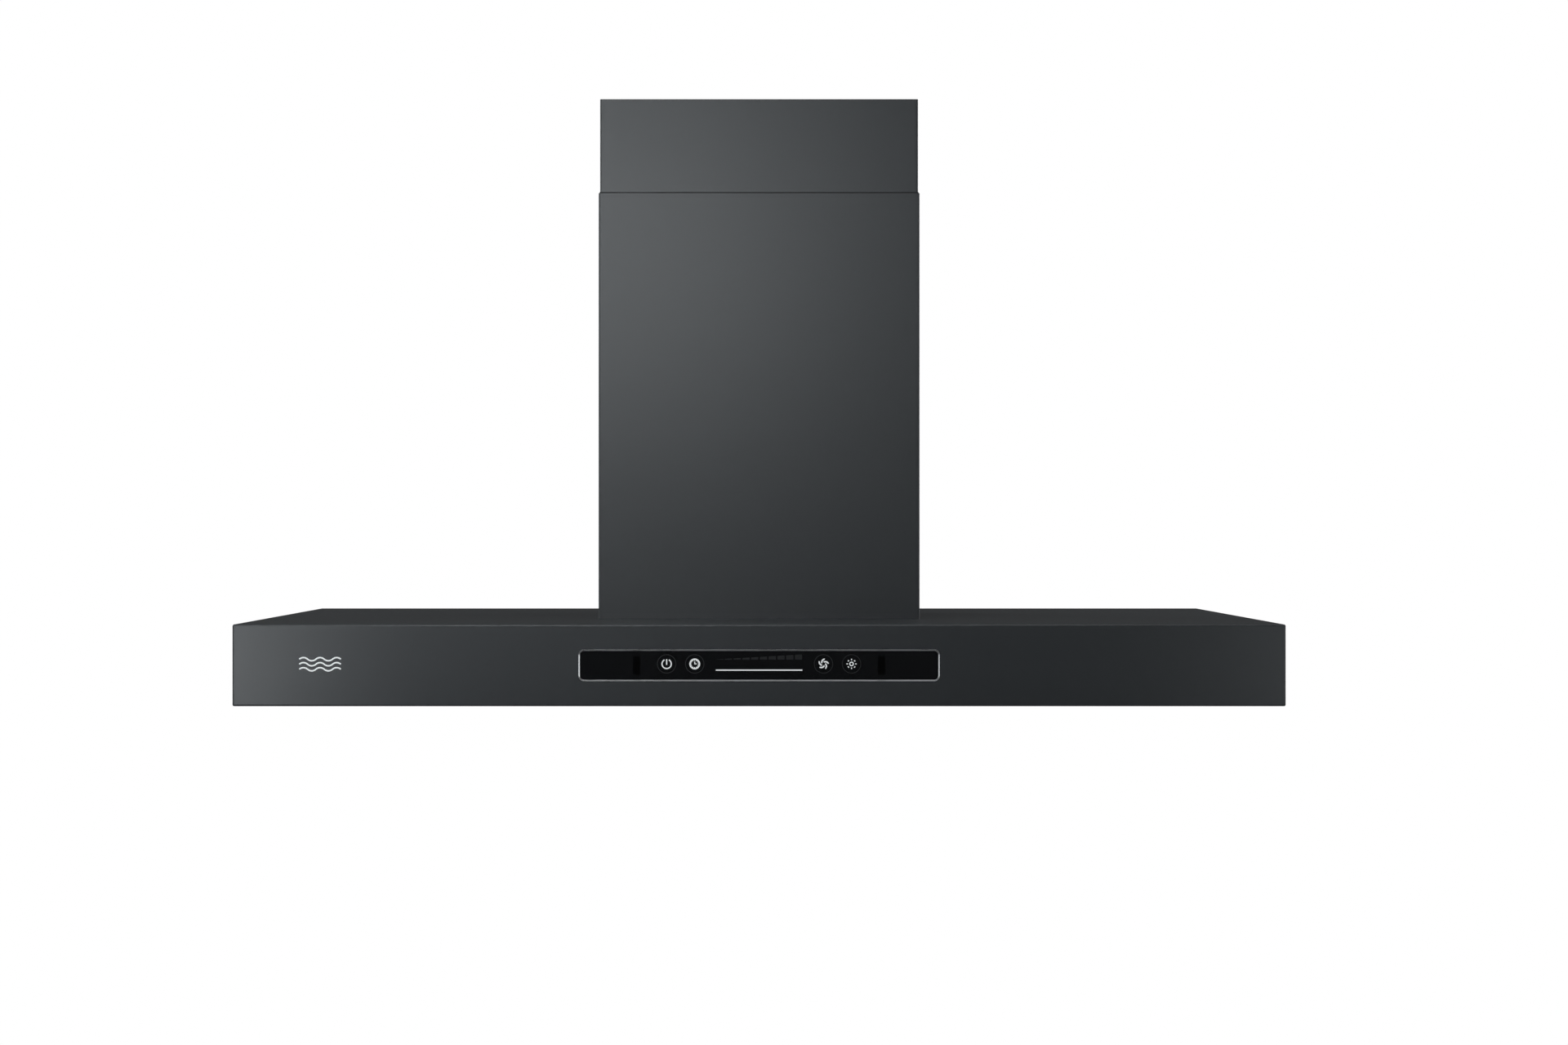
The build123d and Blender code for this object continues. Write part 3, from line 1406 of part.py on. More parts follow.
lamp_cable_start = pan_bottom + lamp_tube_height + board_recess
with BuildPart() as lamp_cables:
    for sx, sy in corners:
        run_x = near_cable_x if sx > 0 else far_cable_x
        run_z = box_top - (lamp_near_drop if sx > 0 else lamp_far_drop)
        add(wire_run(
            lamp_cable_radius,
            [
                (sx * lamp_x, sy * lamp_y, lamp_cable_start),
                (sx * lamp_x, sy * lamp_y, run_z),
                (run_x, sy * lamp_y, run_z),
                (run_x, sy * (box_length / 2 - cable_in_box), run_z),
            ],
            [12.0, 30.0],
        ))
lamp_cables.part.label = "lamp_cables"
export_step(lamp_cables.part, "parts/lamp_cables.step")

# Baffle filters: they hook over the rear edge of the opening and latch over its front edge
filter_width = (opening_width - 2 * filter_side_gap - (filter_count - 1) * filter_gap) / filter_count
filter_length = opening_depth - 2 * filter_end_gap
filter_front = -filter_length / 2
filter_rear = filter_length / 2
filter_bottom = pan_bottom
filter_top = filter_bottom + filter_height
lip_top = filter_bottom + filter_sheet
hook_gap = 0.1
hook_bottom = pan_top + hook_gap
plate_bottom = pan_top + hook_gap
plate_top = plate_bottom + latch_sheet
tongue_tip = -opening_depth / 2 - latch_reach
plate_front = filter_front + filter_sheet + 0.6
plate_length = 24.0
plate_rear = plate_front + plate_length
plate_wall = 5.0
grip_front = plate_front + 8.0
strap_front = plate_front + 2.0
strap_width = 5.0
strap_sheet = 0.8
strap_inner = latch_width + 2 * latch_clearance
spring_length = 10.6
spring_radius = 1.8
spring_wire = 0.5
spring_turns = 5
spring_z = plate_top + plate_wall / 2 - 0.6
stop_front = plate_rear + spring_length
stop_width = 12.0
slat_start = stop_front + filter_sheet + 1.0
slat_end = filter_rear - filter_lip / 2
slat_count = int((filter_width - 2 * filter_lip) // slat_pitch)
comb_width = 8.0
upper_slat_top = filter_top - filter_sheet
lower_slat_top = lip_top + slat_height

for index, side in enumerate(("left", "middle", "right")):
    centre = (index - (filter_count - 1) / 2) * (filter_width + filter_gap)
    with BuildPart() as filter_frame:
        with BuildSketch(level(filter_bottom)):
            with Locations((centre, 0)):
                Rectangle(filter_width, filter_length)
                Rectangle(*shrink((filter_width, filter_length), filter_sheet), mode=Mode.SUBTRACT)
        extrude(amount=filter_height)
        with BuildSketch(level(filter_bottom)):
            with Locations((centre, 0)):
                Rectangle(filter_width, filter_length)
            with Locations((centre, (filter_front_lip - filter_lip) / 2)):
                Rectangle(
                    filter_width - 2 * filter_lip,
                    filter_length - filter_front_lip - filter_lip,
                    mode=Mode.SUBTRACT,
                )
            with Locations((centre, grip_front + (grip_length + latch_travel) / 2)):
                Rectangle(
                    grip_width + 4 * latch_clearance,
                    grip_length + latch_travel + 4 * latch_clearance,
                    mode=Mode.SUBTRACT,
                )
        extrude(amount=filter_sheet)
        with BuildSketch(level(upper_slat_top)):
            with Locations((centre, 0)):
                Rectangle(filter_width, filter_length)
                Rectangle(*shrink((filter_width, filter_length), filter_top_lip), mode=Mode.SUBTRACT)
        extrude(amount=filter_sheet)
        with BuildSketch(across(filter_front)):
            with Locations((centre, (lip_top + plate_top + latch_clearance) / 2)):
                Rectangle(latch_tongue + 2 * latch_clearance, plate_top + latch_clearance - lip_top)
        extrude(amount=-filter_sheet, mode=Mode.SUBTRACT)
        with BuildSketch(level(hook_bottom)):
            with Locations((centre, filter_rear + (hook_reach + filter_end_gap - filter_sheet) / 2)):
                with GridLocations(hook_pitch, 0, 2, 1):
                    Rectangle(hook_width, hook_reach + filter_end_gap + filter_sheet)
        extrude(amount=hook_sheet)
        with BuildSketch(across(strap_front)):
            with Locations((centre, lip_top)):
                Rectangle(
                    strap_inner + 2 * strap_sheet,
                    plate_top + latch_clearance + strap_sheet - lip_top,
                    align=(Align.CENTER, Align.MIN),
                )
                Rectangle(
                    strap_inner,
                    plate_top + latch_clearance - lip_top,
                    align=(Align.CENTER, Align.MIN),
                    mode=Mode.SUBTRACT,
                )
        extrude(amount=-strap_width)
        with BuildSketch(across(stop_front)):
            with Locations((centre, lip_top)):
                Rectangle(stop_width, spring_z + spring_radius + 1 - lip_top, align=(Align.CENTER, Align.MIN))
        extrude(amount=-filter_sheet)
    filter_frame.part.label = f"filter_frame_{side}"
    export_step(filter_frame.part, f"parts/filter_frame_{side}.step")

    with BuildPart() as filter_baffles:
        with BuildSketch(across(slat_start)):
            with Locations((centre, lip_top)):
                with GridLocations(slat_pitch, 0, slat_count, 1):
                    Rectangle(slat_width, slat_height, align=(Align.CENTER, Align.MIN))
            with Locations((centre, lip_top + filter_sheet)):
                with GridLocations(slat_pitch, 0, slat_count, 1):
                    Rectangle(
                        slat_width - 2 * filter_sheet,
                        slat_height - filter_sheet,
                        align=(Align.CENTER, Align.MIN),
                        mode=Mode.SUBTRACT,
                    )
            with Locations((centre, upper_slat_top)):
                with GridLocations(slat_pitch, 0, slat_count + 1, 1):
                    Rectangle(slat_width, slat_height, align=(Align.CENTER, Align.MAX))
            with Locations((centre, upper_slat_top - filter_sheet)):
                with GridLocations(slat_pitch, 0, slat_count + 1, 1):
                    Rectangle(
                        slat_width - 2 * filter_sheet,
                        slat_height - filter_sheet,
                        align=(Align.CENTER, Align.MAX),
                        mode=Mode.SUBTRACT,
                    )
        extrude(amount=-(slat_end - slat_start))
        comb_length = slat_count * slat_pitch + slat_width
        with BuildSketch(level(lower_slat_top)):
            with Locations((centre, slat_start + comb_width / 2), (centre, slat_end - comb_width / 2)):
                Rectangle(comb_length, comb_width)
        extrude(amount=upper_slat_top - slat_height - lower_slat_top)
    filter_baffles.part.label = f"filter_baffles_{side}"
    export_step(filter_baffles.part, f"parts/filter_baffles_{side}.step")

    with BuildPart() as filter_latch:
        with BuildSketch(level(plate_bottom)):
            with Locations((centre, plate_front)):
                Rectangle(latch_width, plate_length, align=(Align.CENTER, Align.MIN))
            with Locations((centre, tongue_tip)):
                Rectangle(latch_tongue, plate_front - tongue_tip, align=(Align.CENTER, Align.MIN))
        extrude(amount=latch_sheet)
        with BuildSketch(level(plate_bottom)):
            with Locations((centre, plate_rear - latch_sheet)):
                Rectangle(stop_width, latch_sheet, align=(Align.CENTER, Align.MIN))
        extrude(amount=latch_sheet + plate_wall)
        with BuildSketch(level(plate_bottom)):
            with Locations((centre, grip_front)):
                RectangleRounded(grip_width, grip_length, 1.5, align=(Align.CENTER, Align.MIN))
        extrude(amount=-(plate_bottom - filter_bottom + grip_drop))
        fillet(filter_latch.faces().sort_by(Axis.Z)[0].edges(), 1.2)
    filter_latch.part.label = f"filter_latch_{side}"
    export_step(filter_latch.part, f"parts/filter_latch_{side}.step")

    with BuildPart() as latch_spring:
        coil_height = spring_length - spring_wire - 2 * running_gap
        with BuildLine():
            Helix(
                coil_height / spring_turns,
                coil_height,
                spring_radius - spring_wire / 2,
                center=(centre, plate_rear + spring_wire / 2 + running_gap, spring_z),
                direction=(0, 1, 0),
            )
        coil = latch_spring.pending_edges_as_wire
        with BuildSketch(Plane(origin=coil @ 0, z_dir=coil % 0)):
            Circle(spring_wire / 2)
        sweep(path=coil)
    latch_spring.part.label = f"latch_spring_{side}"
    export_step(latch_spring.part, f"parts/latch_spring_{side}.step")

print("node files", len(os.listdir("parts")))
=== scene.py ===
import bpy
import json
from math import radians, sin, cos
from mathutils import Matrix, Vector


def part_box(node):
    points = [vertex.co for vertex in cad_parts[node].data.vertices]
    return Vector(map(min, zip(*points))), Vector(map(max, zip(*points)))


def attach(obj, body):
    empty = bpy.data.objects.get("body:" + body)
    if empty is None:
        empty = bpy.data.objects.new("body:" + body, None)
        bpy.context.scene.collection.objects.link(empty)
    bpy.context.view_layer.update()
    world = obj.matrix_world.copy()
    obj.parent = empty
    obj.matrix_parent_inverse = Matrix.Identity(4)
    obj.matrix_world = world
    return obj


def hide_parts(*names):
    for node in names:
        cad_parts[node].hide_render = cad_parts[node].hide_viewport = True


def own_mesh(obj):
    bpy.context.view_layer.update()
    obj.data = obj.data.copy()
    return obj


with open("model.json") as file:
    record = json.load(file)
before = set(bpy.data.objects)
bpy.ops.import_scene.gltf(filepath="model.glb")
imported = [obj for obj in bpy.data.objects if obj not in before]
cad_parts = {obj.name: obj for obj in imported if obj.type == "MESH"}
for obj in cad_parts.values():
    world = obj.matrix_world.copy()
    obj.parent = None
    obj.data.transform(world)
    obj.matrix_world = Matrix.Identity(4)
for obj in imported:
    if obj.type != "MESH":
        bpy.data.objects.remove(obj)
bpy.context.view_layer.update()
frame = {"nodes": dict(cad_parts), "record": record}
nodes = frame["nodes"]
mm = 0.001
sides = ("left", "middle", "right")


# sums in a node tree are written as expressions: a Val wraps one socket
class Val:
    def __init__(self, shader, socket):
        self.shader = shader
        self.socket = socket

    def sum(self, operation, first, second=None):
        return self.shader.node("ShaderNodeMath", {"operation": operation}, {0: first, 1: second})

    def __add__(self, other):
        return self.sum("ADD", self, other)

    def __radd__(self, other):
        return self.sum("ADD", other, self)

    def __sub__(self, other):
        return self.sum("SUBTRACT", self, other)

    def __rsub__(self, other):
        return self.sum("SUBTRACT", other, self)

    def __mul__(self, other):
        return self.sum("MULTIPLY", self, other)

    def __rmul__(self, other):
        return self.sum("MULTIPLY", other, self)

    def __gt__(self, other):
        return self.sum("GREATER_THAN", self, other)

    def wave(self):
        return self.sum("SINE", self)

    def size(self):
        return self.sum("ABSOLUTE", self)

    def clamp(self):
        return self.shader.node("ShaderNodeClamp", {}, {"Value": self}, "Result")

    def part(self, axis):
        return self.shader.node("ShaderNodeSeparateXYZ", {}, {"Vector": self}, axis)


# one node tree: a material's, or the world's
class Shader:
    def __init__(self, name, library="materials", coordinates="Object"):
        self.owner = getattr(bpy.data, library).new(name)
        self.owner.use_nodes = True
        self.tree = self.owner.node_tree
        self.tree.nodes.clear()
        self.place = self.node("ShaderNodeTexCoord", {}, {}, coordinates)

    def node(self, kind, settings, values, output=0):
        made = self.tree.nodes.new(kind)
        for key, value in settings.items():
            setattr(made, key, value)
        for key, value in values.items():
            if value is None:
                continue
            if isinstance(value, Val):
                self.tree.links.new(value.socket, made.inputs[key])
            else:
                made.inputs[key].default_value = value
        return Val(self, made.outputs[output]) if made.outputs else made

    def moved(self, scale=(1, 1, 1), turn=(0, 0, 0)):
        values = {"Vector": self.place, "Scale": scale, "Rotation": turn}
        return self.node("ShaderNodeMapping", {}, values, "Vector")

    def noise(self, scale, detail=2.0, vector=None):
        values = {"Vector": vector or self.place, "Scale": scale, "Detail": detail}
        return self.node("ShaderNodeTexNoise", {"noise_dimensions": "3D"}, values, "Fac")

    def cells(self, scale, output="Distance"):
        values = {"Vector": self.place, "Scale": scale}
        return self.node("ShaderNodeTexVoronoi", {"feature": "F1"}, values, output)

    def blend(self, factor, first, second):
        settings = {"data_type": "RGBA", "clamp_factor": True}
        return self.node("ShaderNodeMix", settings, {"Factor": factor, 6: first, 7: second}, 2)

    def bump(self, height, depth, strength=1.0):
        values = {"Height": height, "Distance": depth, "Strength": strength}
        return self.node("ShaderNodeBump", {}, values, "Normal")

    def surface(self, **sockets):
        names = {key.replace("_", " "): value for key, value in sockets.items()}
        body = self.node("ShaderNodeBsdfPrincipled", {}, names, "BSDF")
        self.node("ShaderNodeOutputMaterial", {}, {"Surface": body})
        return self.owner


def grey(level, tint=(1.0, 1.0, 1.0)):
    return (level * tint[0], level * tint[1], level * tint[2], 1.0)


# powder coat: a fine even grain with slow drifts in tone
paintLook = {
    "dark": (0.0145, 0.0160, 0.0182, 1),
    "light": (0.0198, 0.0217, 0.0243, 1),
    "grainScale": 1500.0,
    "driftScale": 3.0,
    "roughness": 0.385,
    "grainDepth": 0.00004,
}


def makePaint(name, look):
    s = Shader(name)
    grain = s.noise(look["grainScale"], 1.0)
    coarse = s.noise(look["grainScale"] / 4, 2.0)
    drift = s.noise(look["driftScale"], 2.0)
    tone = (grain * 0.55 + coarse * 0.25 + drift * 0.35 - 0.12).clamp()
    colour = s.blend(tone, look["dark"], look["light"])
    rough = look["roughness"] + (coarse - 0.5) * 0.10 + (drift - 0.5) * 0.05
    return s.surface(
        Base_Color=colour,
        Roughness=rough,
        Specular_IOR_Level=0.5,
        Normal=s.bump(grain + coarse * 0.6, look["grainDepth"], 0.5),
    )


# sheet metal with a drawn grain along one axis
def makeBrushed(name, base, rough, scale, spread=0.10, depth=0.00001):
    s = Shader(name)
    lines = s.noise(1.0, 2.0, s.moved(scale=scale))
    broad = s.noise(9.0, 2.0)
    colour = s.blend(lines * 0.7 + broad * 0.3, grey(base * 0.86), grey(base * 1.1))
    return s.surface(
        Base_Color=colour,
        Metallic=1.0,
        Roughness=(rough + (lines - 0.5) * spread + (broad - 0.5) * 0.08).clamp(),
        Normal=s.bump(lines, depth, 0.4),
    )


# galvanised sheet: zinc flakes of differing tone
zincLook = {"flakes": 130.0, "dark": 0.36, "light": 0.56, "roughness": 0.38}


def makeZinc(name, look):
    s = Shader(name)
    flake = s.cells(look["flakes"], "Color")
    tone = s.node("ShaderNodeRGBToBW", {}, {"Color": flake})
    fine = s.noise(700.0, 2.0)
    colour = s.blend(tone * 0.8 + fine * 0.2, grey(look["dark"]), grey(look["light"], (0.97, 1.0, 1.03)))
    return s.surface(
        Base_Color=colour,
        Metallic=1.0,
        Roughness=look["roughness"] + (tone - 0.5) * 0.16,
        Normal=s.bump(fine, 0.00001, 0.4),
    )


def makePlastic(name, colour, rough, grainScale=900.0, metal=0.0):
    s = Shader(name)
    grain = s.noise(grainScale, 2.0)
    drift = s.noise(14.0, 2.0)
    low = tuple(v * 0.82 for v in colour) + (1,)
    high = tuple(min(v * 1.15, 1.0) for v in colour) + (1,)
    return s.surface(
        Base_Color=s.blend(grain * 0.4 + drift * 0.6, low, high),
        Metallic=metal,
        Roughness=(rough + (grain - 0.5) * 0.12 + (drift - 0.5) * 0.08).clamp(),
        Normal=s.bump(grain, 0.00003, 0.5),
    )


# black glass: deep tone, with faint smears in its gloss and a little dust
glassLook = {
    "smearScale": 22.0,
    "dustScale": 420.0,
    "deep": (0.0042, 0.0044, 0.0050, 1),
    "dust": (0.05, 0.05, 0.05, 1),
    "gloss": 0.05,
}


def makeGlass(name, look):
    s = Shader(name)
    smear = s.noise(look["smearScale"], 4.0, s.moved(scale=(1, 1, 2.4), turn=(0, radians(20), 0)))
    speck = (0.06 - s.cells(look["dustScale"])).clamp() * 2.0
    return s.surface(
        Base_Color=s.blend(speck, look["deep"], look["dust"]),
        Roughness=(look["gloss"] + (smear - 0.45).clamp() * 0.30).clamp(),
        Specular_IOR_Level=0.35,
    )


# frosted lamp lens with a faint glow of its own
lensLook = {
    "dull": (0.78, 0.78, 0.75, 1),
    "bright": (0.90, 0.90, 0.87, 1),
    "warm": (1.0, 0.96, 0.88, 1),
    "cool": (1.0, 0.98, 0.93, 1),
    "roughness": 0.32,
    "glow": 0.12,
}


def makeLens(name, look):
    s = Shader(name)
    frost = s.noise(1200.0, 1.0)
    drift = s.noise(60.0, 1.0)
    return s.surface(
        Base_Color=s.blend(drift, look["dull"], look["bright"]),
        Roughness=look["roughness"] + (frost - 0.5) * 0.2,
        Normal=s.bump(frost, 0.00003, 0.5),
        Emission_Color=s.blend(drift, look["warm"], look["cool"]),
        Emission_Strength=look["glow"],
        Coat_Weight=0.3,
    )


# circuit board: lacquer with copper runs under it, whose waves have these lengths along x, y and z
boardLook = {"runs": (900.0, 630.0, 1170.0), "edge": 0.55}


def makeBoard(name, base, run):
    s = Shader(name)
    x, y, z = (s.place.part(axis) * rate for axis, rate in zip("XYZ", boardLook["runs"]))
    runs = ((x.wave() * 0.5 + y.wave() * 0.5 + z.wave() * 0.4).size() > boardLook["edge"]) * 0.7
    fine = s.noise(300.0)
    return s.surface(
        Base_Color=s.blend(runs + fine * 0.3, base, run),
        Roughness=0.34 + (fine - 0.5) * 0.15,
        Coat_Weight=0.25,
    )


# printed ink, which may get a painted glow, a little as if lit from behind
def makeInk(name, colour, glow):
    s = Shader(name)
    edge = s.noise(1400.0)
    low = tuple(v * 0.9 for v in colour) + (1,)
    return s.surface(
        Base_Color=s.blend(edge, low, tuple(colour) + (1,)),
        Roughness=0.45 + (edge - 0.5) * 0.1,
        Emission_Color=tuple(colour) + (1,),
        Emission_Strength=glow,
    )


# the dark windows in front of the panel's sensors
def makeShade(name):
    s = Shader(name)
    smear = s.noise(30.0, 3.0)
    return s.surface(
        Base_Color=s.blend(smear, grey(0.0010, (1, 1, 1.2)), grey(0.0020, (1, 1, 1.1))),
        Roughness=0.10 + smear * 0.08,
        Specular_IOR_Level=0.2,
    )


materials = {
    "hood_paint": makePaint("anthracitePowderCoat", paintLook),
    "panel_glass": makeGlass("blackPanelGlass", glassLook),
    "bezel_metal": makeBrushed("satinAluminium", 0.62, 0.28, (60, 4000, 4000)),
    "zinc_steel": makeZinc("galvanisedSheet", zincLook),
    "filter_steel": makeBrushed("brushedStainless", 0.55, 0.30, (2600, 40, 2600)),
    "latch_metal": makeBrushed("satinStainless", 0.50, 0.30, (60, 2200, 2200)),
    "screw_steel": makeBrushed("zincPlatedScrews", 0.52, 0.33, (900, 900, 900)),
    "black_plastic": makePlastic("blackMouldedPlastic", (0.022, 0.022, 0.024), 0.50),
    "impeller_plastic": makePlastic("greyMouldedPlastic", (0.085, 0.087, 0.092), 0.45),
    "lens": makeLens("frostedLens", lensLook),
    "heat_sink": makePlastic("castAluminium", (0.58, 0.59, 0.61), 0.42, 500.0, 1.0),
    "board_green": makeBoard("greenBoard", (0.010, 0.070, 0.030, 1), (0.035, 0.150, 0.060, 1)),
    "board_white": makeBoard("whiteBoard", (0.76, 0.76, 0.73, 1), (0.66, 0.64, 0.58, 1)),
    "cable_sheath": makePlastic("cableSheath", (0.020, 0.020, 0.021), 0.55, 260.0),
    "can_white": makePlastic("whiteCan", (0.72, 0.72, 0.70), 0.40),
    "windings": makePlastic("copperWindings", (0.40, 0.17, 0.07), 0.35, 1400.0, 0.8),
    "motor_steel": makePlastic("blackLacqueredSteel", (0.045, 0.045, 0.048), 0.35, 600.0, 0.3),
    "shaft_steel": makeBrushed("groundSteel", 0.56, 0.24, (2500, 60, 2500)),
}
slotOf = {entry["node"]: entry["material_slot"] for entry in frame["record"]["subparts"]}
for nodeName, node in nodes.items():
    for place in node.material_slots:
        place.material = materials[slotOf[nodeName]]
# white ink with a painted glow, used on the panel icons and the front sign
inkWhitePaintedGlow = makeInk("whiteInkPaintedGlow", (0.86, 0.88, 0.88), 0.35)
inkFaint = makeInk("faintInk", (0.013, 0.014, 0.015), 0.0)
inkShade = makeShade("sensorWindow")
print("materials made:", len(bpy.data.materials))


# edit-mode helpers
def clearSelection():
    if bpy.context.mode != "OBJECT":
        bpy.ops.object.mode_set(mode="OBJECT")
    bpy.ops.object.select_all(action="DESELECT")


def openEdit(piece, mode="VERT"):
    clearSelection()
    piece.select_set(True)
    bpy.context.view_layer.objects.active = piece
    bpy.ops.object.mode_set(mode="EDIT")
    bpy.ops.mesh.select_mode(type=mode)
    bpy.ops.mesh.select_all(action="DESELECT")


def applyModifiers(piece):
    clearSelection()
    piece.select_set(True)
    bpy.context.view_layer.objects.active = piece
    for modifier in list(piece.modifiers):
        bpy.ops.object.modifier_apply(modifier=modifier.name)


def settle(piece, name, material, body):
    clearSelection()
    piece.select_set(True)
    bpy.context.view_layer.objects.active = piece
    bpy.ops.object.transform_apply(location=True, rotation=True, scale=True)
    piece.name = name
    piece.data.name = name
    piece.data.materials.clear()
    piece.data.materials.append(material)
    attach(piece, body)
    return piece


def copyPiece(piece, move=(0, 0), centre=(0, 0), angle=0.0):
    # a copy with its own mesh, turned about a point of the front, in degrees, and moved along it
    clearSelection()
    piece.select_set(True)
    bpy.context.view_layer.objects.active = piece
    bpy.ops.object.duplicate(linked=False)
    twin = bpy.context.active_object
    hub = Matrix.Translation((centre[0], 0, centre[1]))
    shift = Matrix.Translation((move[0], 0, move[1]))
    twin.matrix_world = shift @ hub @ Matrix.Rotation(-radians(angle), 4, "Y") @ hub.inverted()
    bpy.ops.object.transform_apply(location=True, rotation=True, scale=True)
    return twin


def carryRound(piece, count, x, z, reach):
    # the piece and copies carried round a point, each turned back by its angle about its own middle
    made = [piece]
    for turn in range(1, count):
        angle = 360 * turn / count
        move = (reach * (cos(radians(angle)) - 1), reach * sin(radians(angle)))
        made.append(copyPiece(piece, move, (x + reach, z), -angle))
    return made


def joinPieces(parts):
    clearSelection()
    for one in parts:
        one.select_set(True)
    bpy.context.view_layer.objects.active = parts[0]
    bpy.ops.object.join()
    return bpy.context.view_layer.objects.active


# printed marks are thin plates laid on a face that looks along -Y
inkSettings = {"thickness": 0.05 * mm, "sink": 0.01 * mm, "ringSteps": 64, "cornerShare": 0.16}


def layInk(piece, faceY):
    # a flat mark in the plane y = 0 gets its thickness and goes onto the face
    clearSelection()
    piece.select_set(True)
    bpy.context.view_layer.objects.active = piece
    bpy.ops.object.transform_apply(location=True, rotation=True, scale=True)
    thick = piece.modifiers.new("thick", "SOLIDIFY")
    thick.thickness = inkSettings["thickness"] + inkSettings["sink"]
    thick.offset = 0
    applyModifiers(piece)
    bpy.ops.transform.translate(value=(0, faceY - inkSettings["thickness"] / 2, 0))
    bpy.ops.object.transform_apply(location=True, rotation=True, scale=True)
    return piece


def keepSpan(piece, x, z, middle, span):
    # bisects a flat ring at both ends of a span, in degrees about its centre, and drops the rest
    for end in (middle - span / 2, middle + span / 2):
        cut = radians(end)
        openEdit(piece)
        bpy.ops.mesh.select_all(action="SELECT")
        bpy.ops.mesh.bisect(plane_co=(x, 0, z), plane_no=(-sin(cut), 0, cos(cut)))
    bpy.ops.mesh.select_mode(type="FACE")
    bpy.ops.mesh.select_all(action="DESELECT")
    bpy.ops.object.mode_set(mode="OBJECT")
    aim = Vector((cos(radians(middle)), sin(radians(middle))))
    for face in piece.data.polygons:
        place = Vector((face.center.x - x, face.center.z - z))
        face.select = place.angle(aim) > radians(span) / 2
    bpy.ops.object.mode_set(mode="EDIT")
    bpy.ops.mesh.delete(type="FACE")
    bpy.ops.object.mode_set(mode="OBJECT")


def inkRing(x, z, radius, width, faceY, span=360.0, middle=0.0, steps=inkSettings["ringSteps"], lean=0.0):
    # a ring, or the span of one about the middle angle, whose inner edge may lean off centre
    clearSelection()
    outer = radius + width / 2
    bpy.ops.mesh.primitive_circle_add(
        vertices=steps, radius=outer, fill_type="NOTHING", location=(x, 0, z), rotation=(radians(90), 0, 0),
    )
    ring = bpy.context.active_object
    bpy.ops.object.transform_apply(location=True, rotation=True, scale=True)
    openEdit(ring, "EDGE")
    bpy.ops.mesh.select_all(action="SELECT")
    bpy.ops.mesh.extrude_region_move()
    factor = (radius - width / 2 + lean) / outer
    bpy.ops.transform.resize(value=(factor, factor, factor), center_override=(x, 0, z))
    away = radians(middle)
    bpy.ops.transform.translate(value=(-lean * cos(away), 0, -lean * sin(away)))
    bpy.ops.object.mode_set(mode="OBJECT")
    if span < 360:
        keepSpan(ring, x, z, middle, span)
    return layInk(ring, faceY)


def inkBar(x, z, width, height, faceY, rise=0.0):
    # a bar with eased corners, whose top may rise to the right
    clearSelection()
    bpy.ops.mesh.primitive_plane_add(size=1.0, location=(x, 0, z), rotation=(radians(90), 0, 0))
    bar = bpy.context.active_object
    bpy.ops.object.transform_apply(location=True, rotation=True, scale=True)
    openEdit(bar)
    bpy.ops.mesh.select_all(action="SELECT")
    bpy.ops.transform.resize(value=(width, 1.0, height), center_override=(x, 0, z))
    if rise:
        bpy.ops.mesh.select_all(action="DESELECT")
        bpy.ops.object.mode_set(mode="OBJECT")
        for v in bar.data.vertices:
            v.select = v.co.z > z and v.co.x > x
        bpy.ops.object.mode_set(mode="EDIT")
        bpy.ops.transform.translate(value=(0, 0, rise))
        bpy.ops.mesh.select_all(action="SELECT")
    easing = min(width, height) * inkSettings["cornerShare"]
    bpy.ops.mesh.bevel(offset=easing, segments=2, affect="VERTICES")
    bpy.ops.object.mode_set(mode="OBJECT")
    return layInk(bar, faceY)


glassLow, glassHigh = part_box("control_glass")
glassFace = glassLow.y
panelZ = (glassLow.z + glassHigh.z) / 2
panel = {
    "iconLift": 1.2 * mm,
    "powerX": -79 * mm, "clockX": -55 * mm, "fanX": 55 * mm, "lampX": 79 * mm,
    "haloRadius": 7.9 * mm, "haloWidth": 0.7 * mm, "haloSteps": 96,
    "lineHalf": 37 * mm, "lineDrop": 4.1 * mm, "lineWidth": 1.1 * mm,
    "stepCount": 10, "stepPitch": 7.49 * mm, "stepWidth": 6.25 * mm, "stepBase": 4.9 * mm, "stepTop": 9.3 * mm,
    "stepStart": 0.25, "stepSlope": 0.8,
    "windowX": 104.6 * mm, "windowSize": (6.2 * mm, 15.6 * mm),
}
iconZ = panelZ + panel["iconLift"]


# power sign: an open ring with a bar in its gap
powerLook = {"radius": 3.95 * mm, "stroke": 1.05 * mm, "span": 305.0, "barHeight": 4.9 * mm, "barLift": 1.65 * mm}


def powerIcon(x, z, look):
    arc = inkRing(x, z, look["radius"], look["stroke"], glassFace, look["span"], -90.0)
    bar = inkBar(x, z + look["barLift"], look["stroke"], look["barHeight"], glassFace)
    return [arc, bar]


# clock: a ring with twelve teeth inside, and two hands
clockLook = {
    "radius": 4.05 * mm, "stroke": 1.2 * mm,
    "teeth": 12, "toothRadius": 3.2 * mm, "tooth": (0.9 * mm, 0.75 * mm),
    "hand": 0.85 * mm, "minuteLength": 2.2 * mm, "minuteLift": 0.85 * mm,
    "hourLength": 1.9 * mm, "hourReach": 0.75 * mm,
}


def clockIcon(x, z, look):
    made = [inkRing(x, z, look["radius"], look["stroke"], glassFace)]
    tooth = inkBar(x + look["toothRadius"], z, *look["tooth"], glassFace)
    made += carryRound(tooth, look["teeth"], x, z, look["toothRadius"])
    made.append(inkBar(x, z + look["minuteLift"], look["hand"], look["minuteLength"], glassFace))
    made.append(inkBar(x + look["hourReach"], z, look["hourLength"], look["hand"], glassFace))
    return made


# fan: curved blades, thickest at the middle, that sweep round the hub
fanLook = {
    "blades": 5, "offset": 1.87 * mm, "aim": 56.0, "middle": 144.5,
    "radius": 2.40 * mm, "stroke": 1.30 * mm, "span": 111.0, "lean": 1.05 * mm, "steps": 72,
}


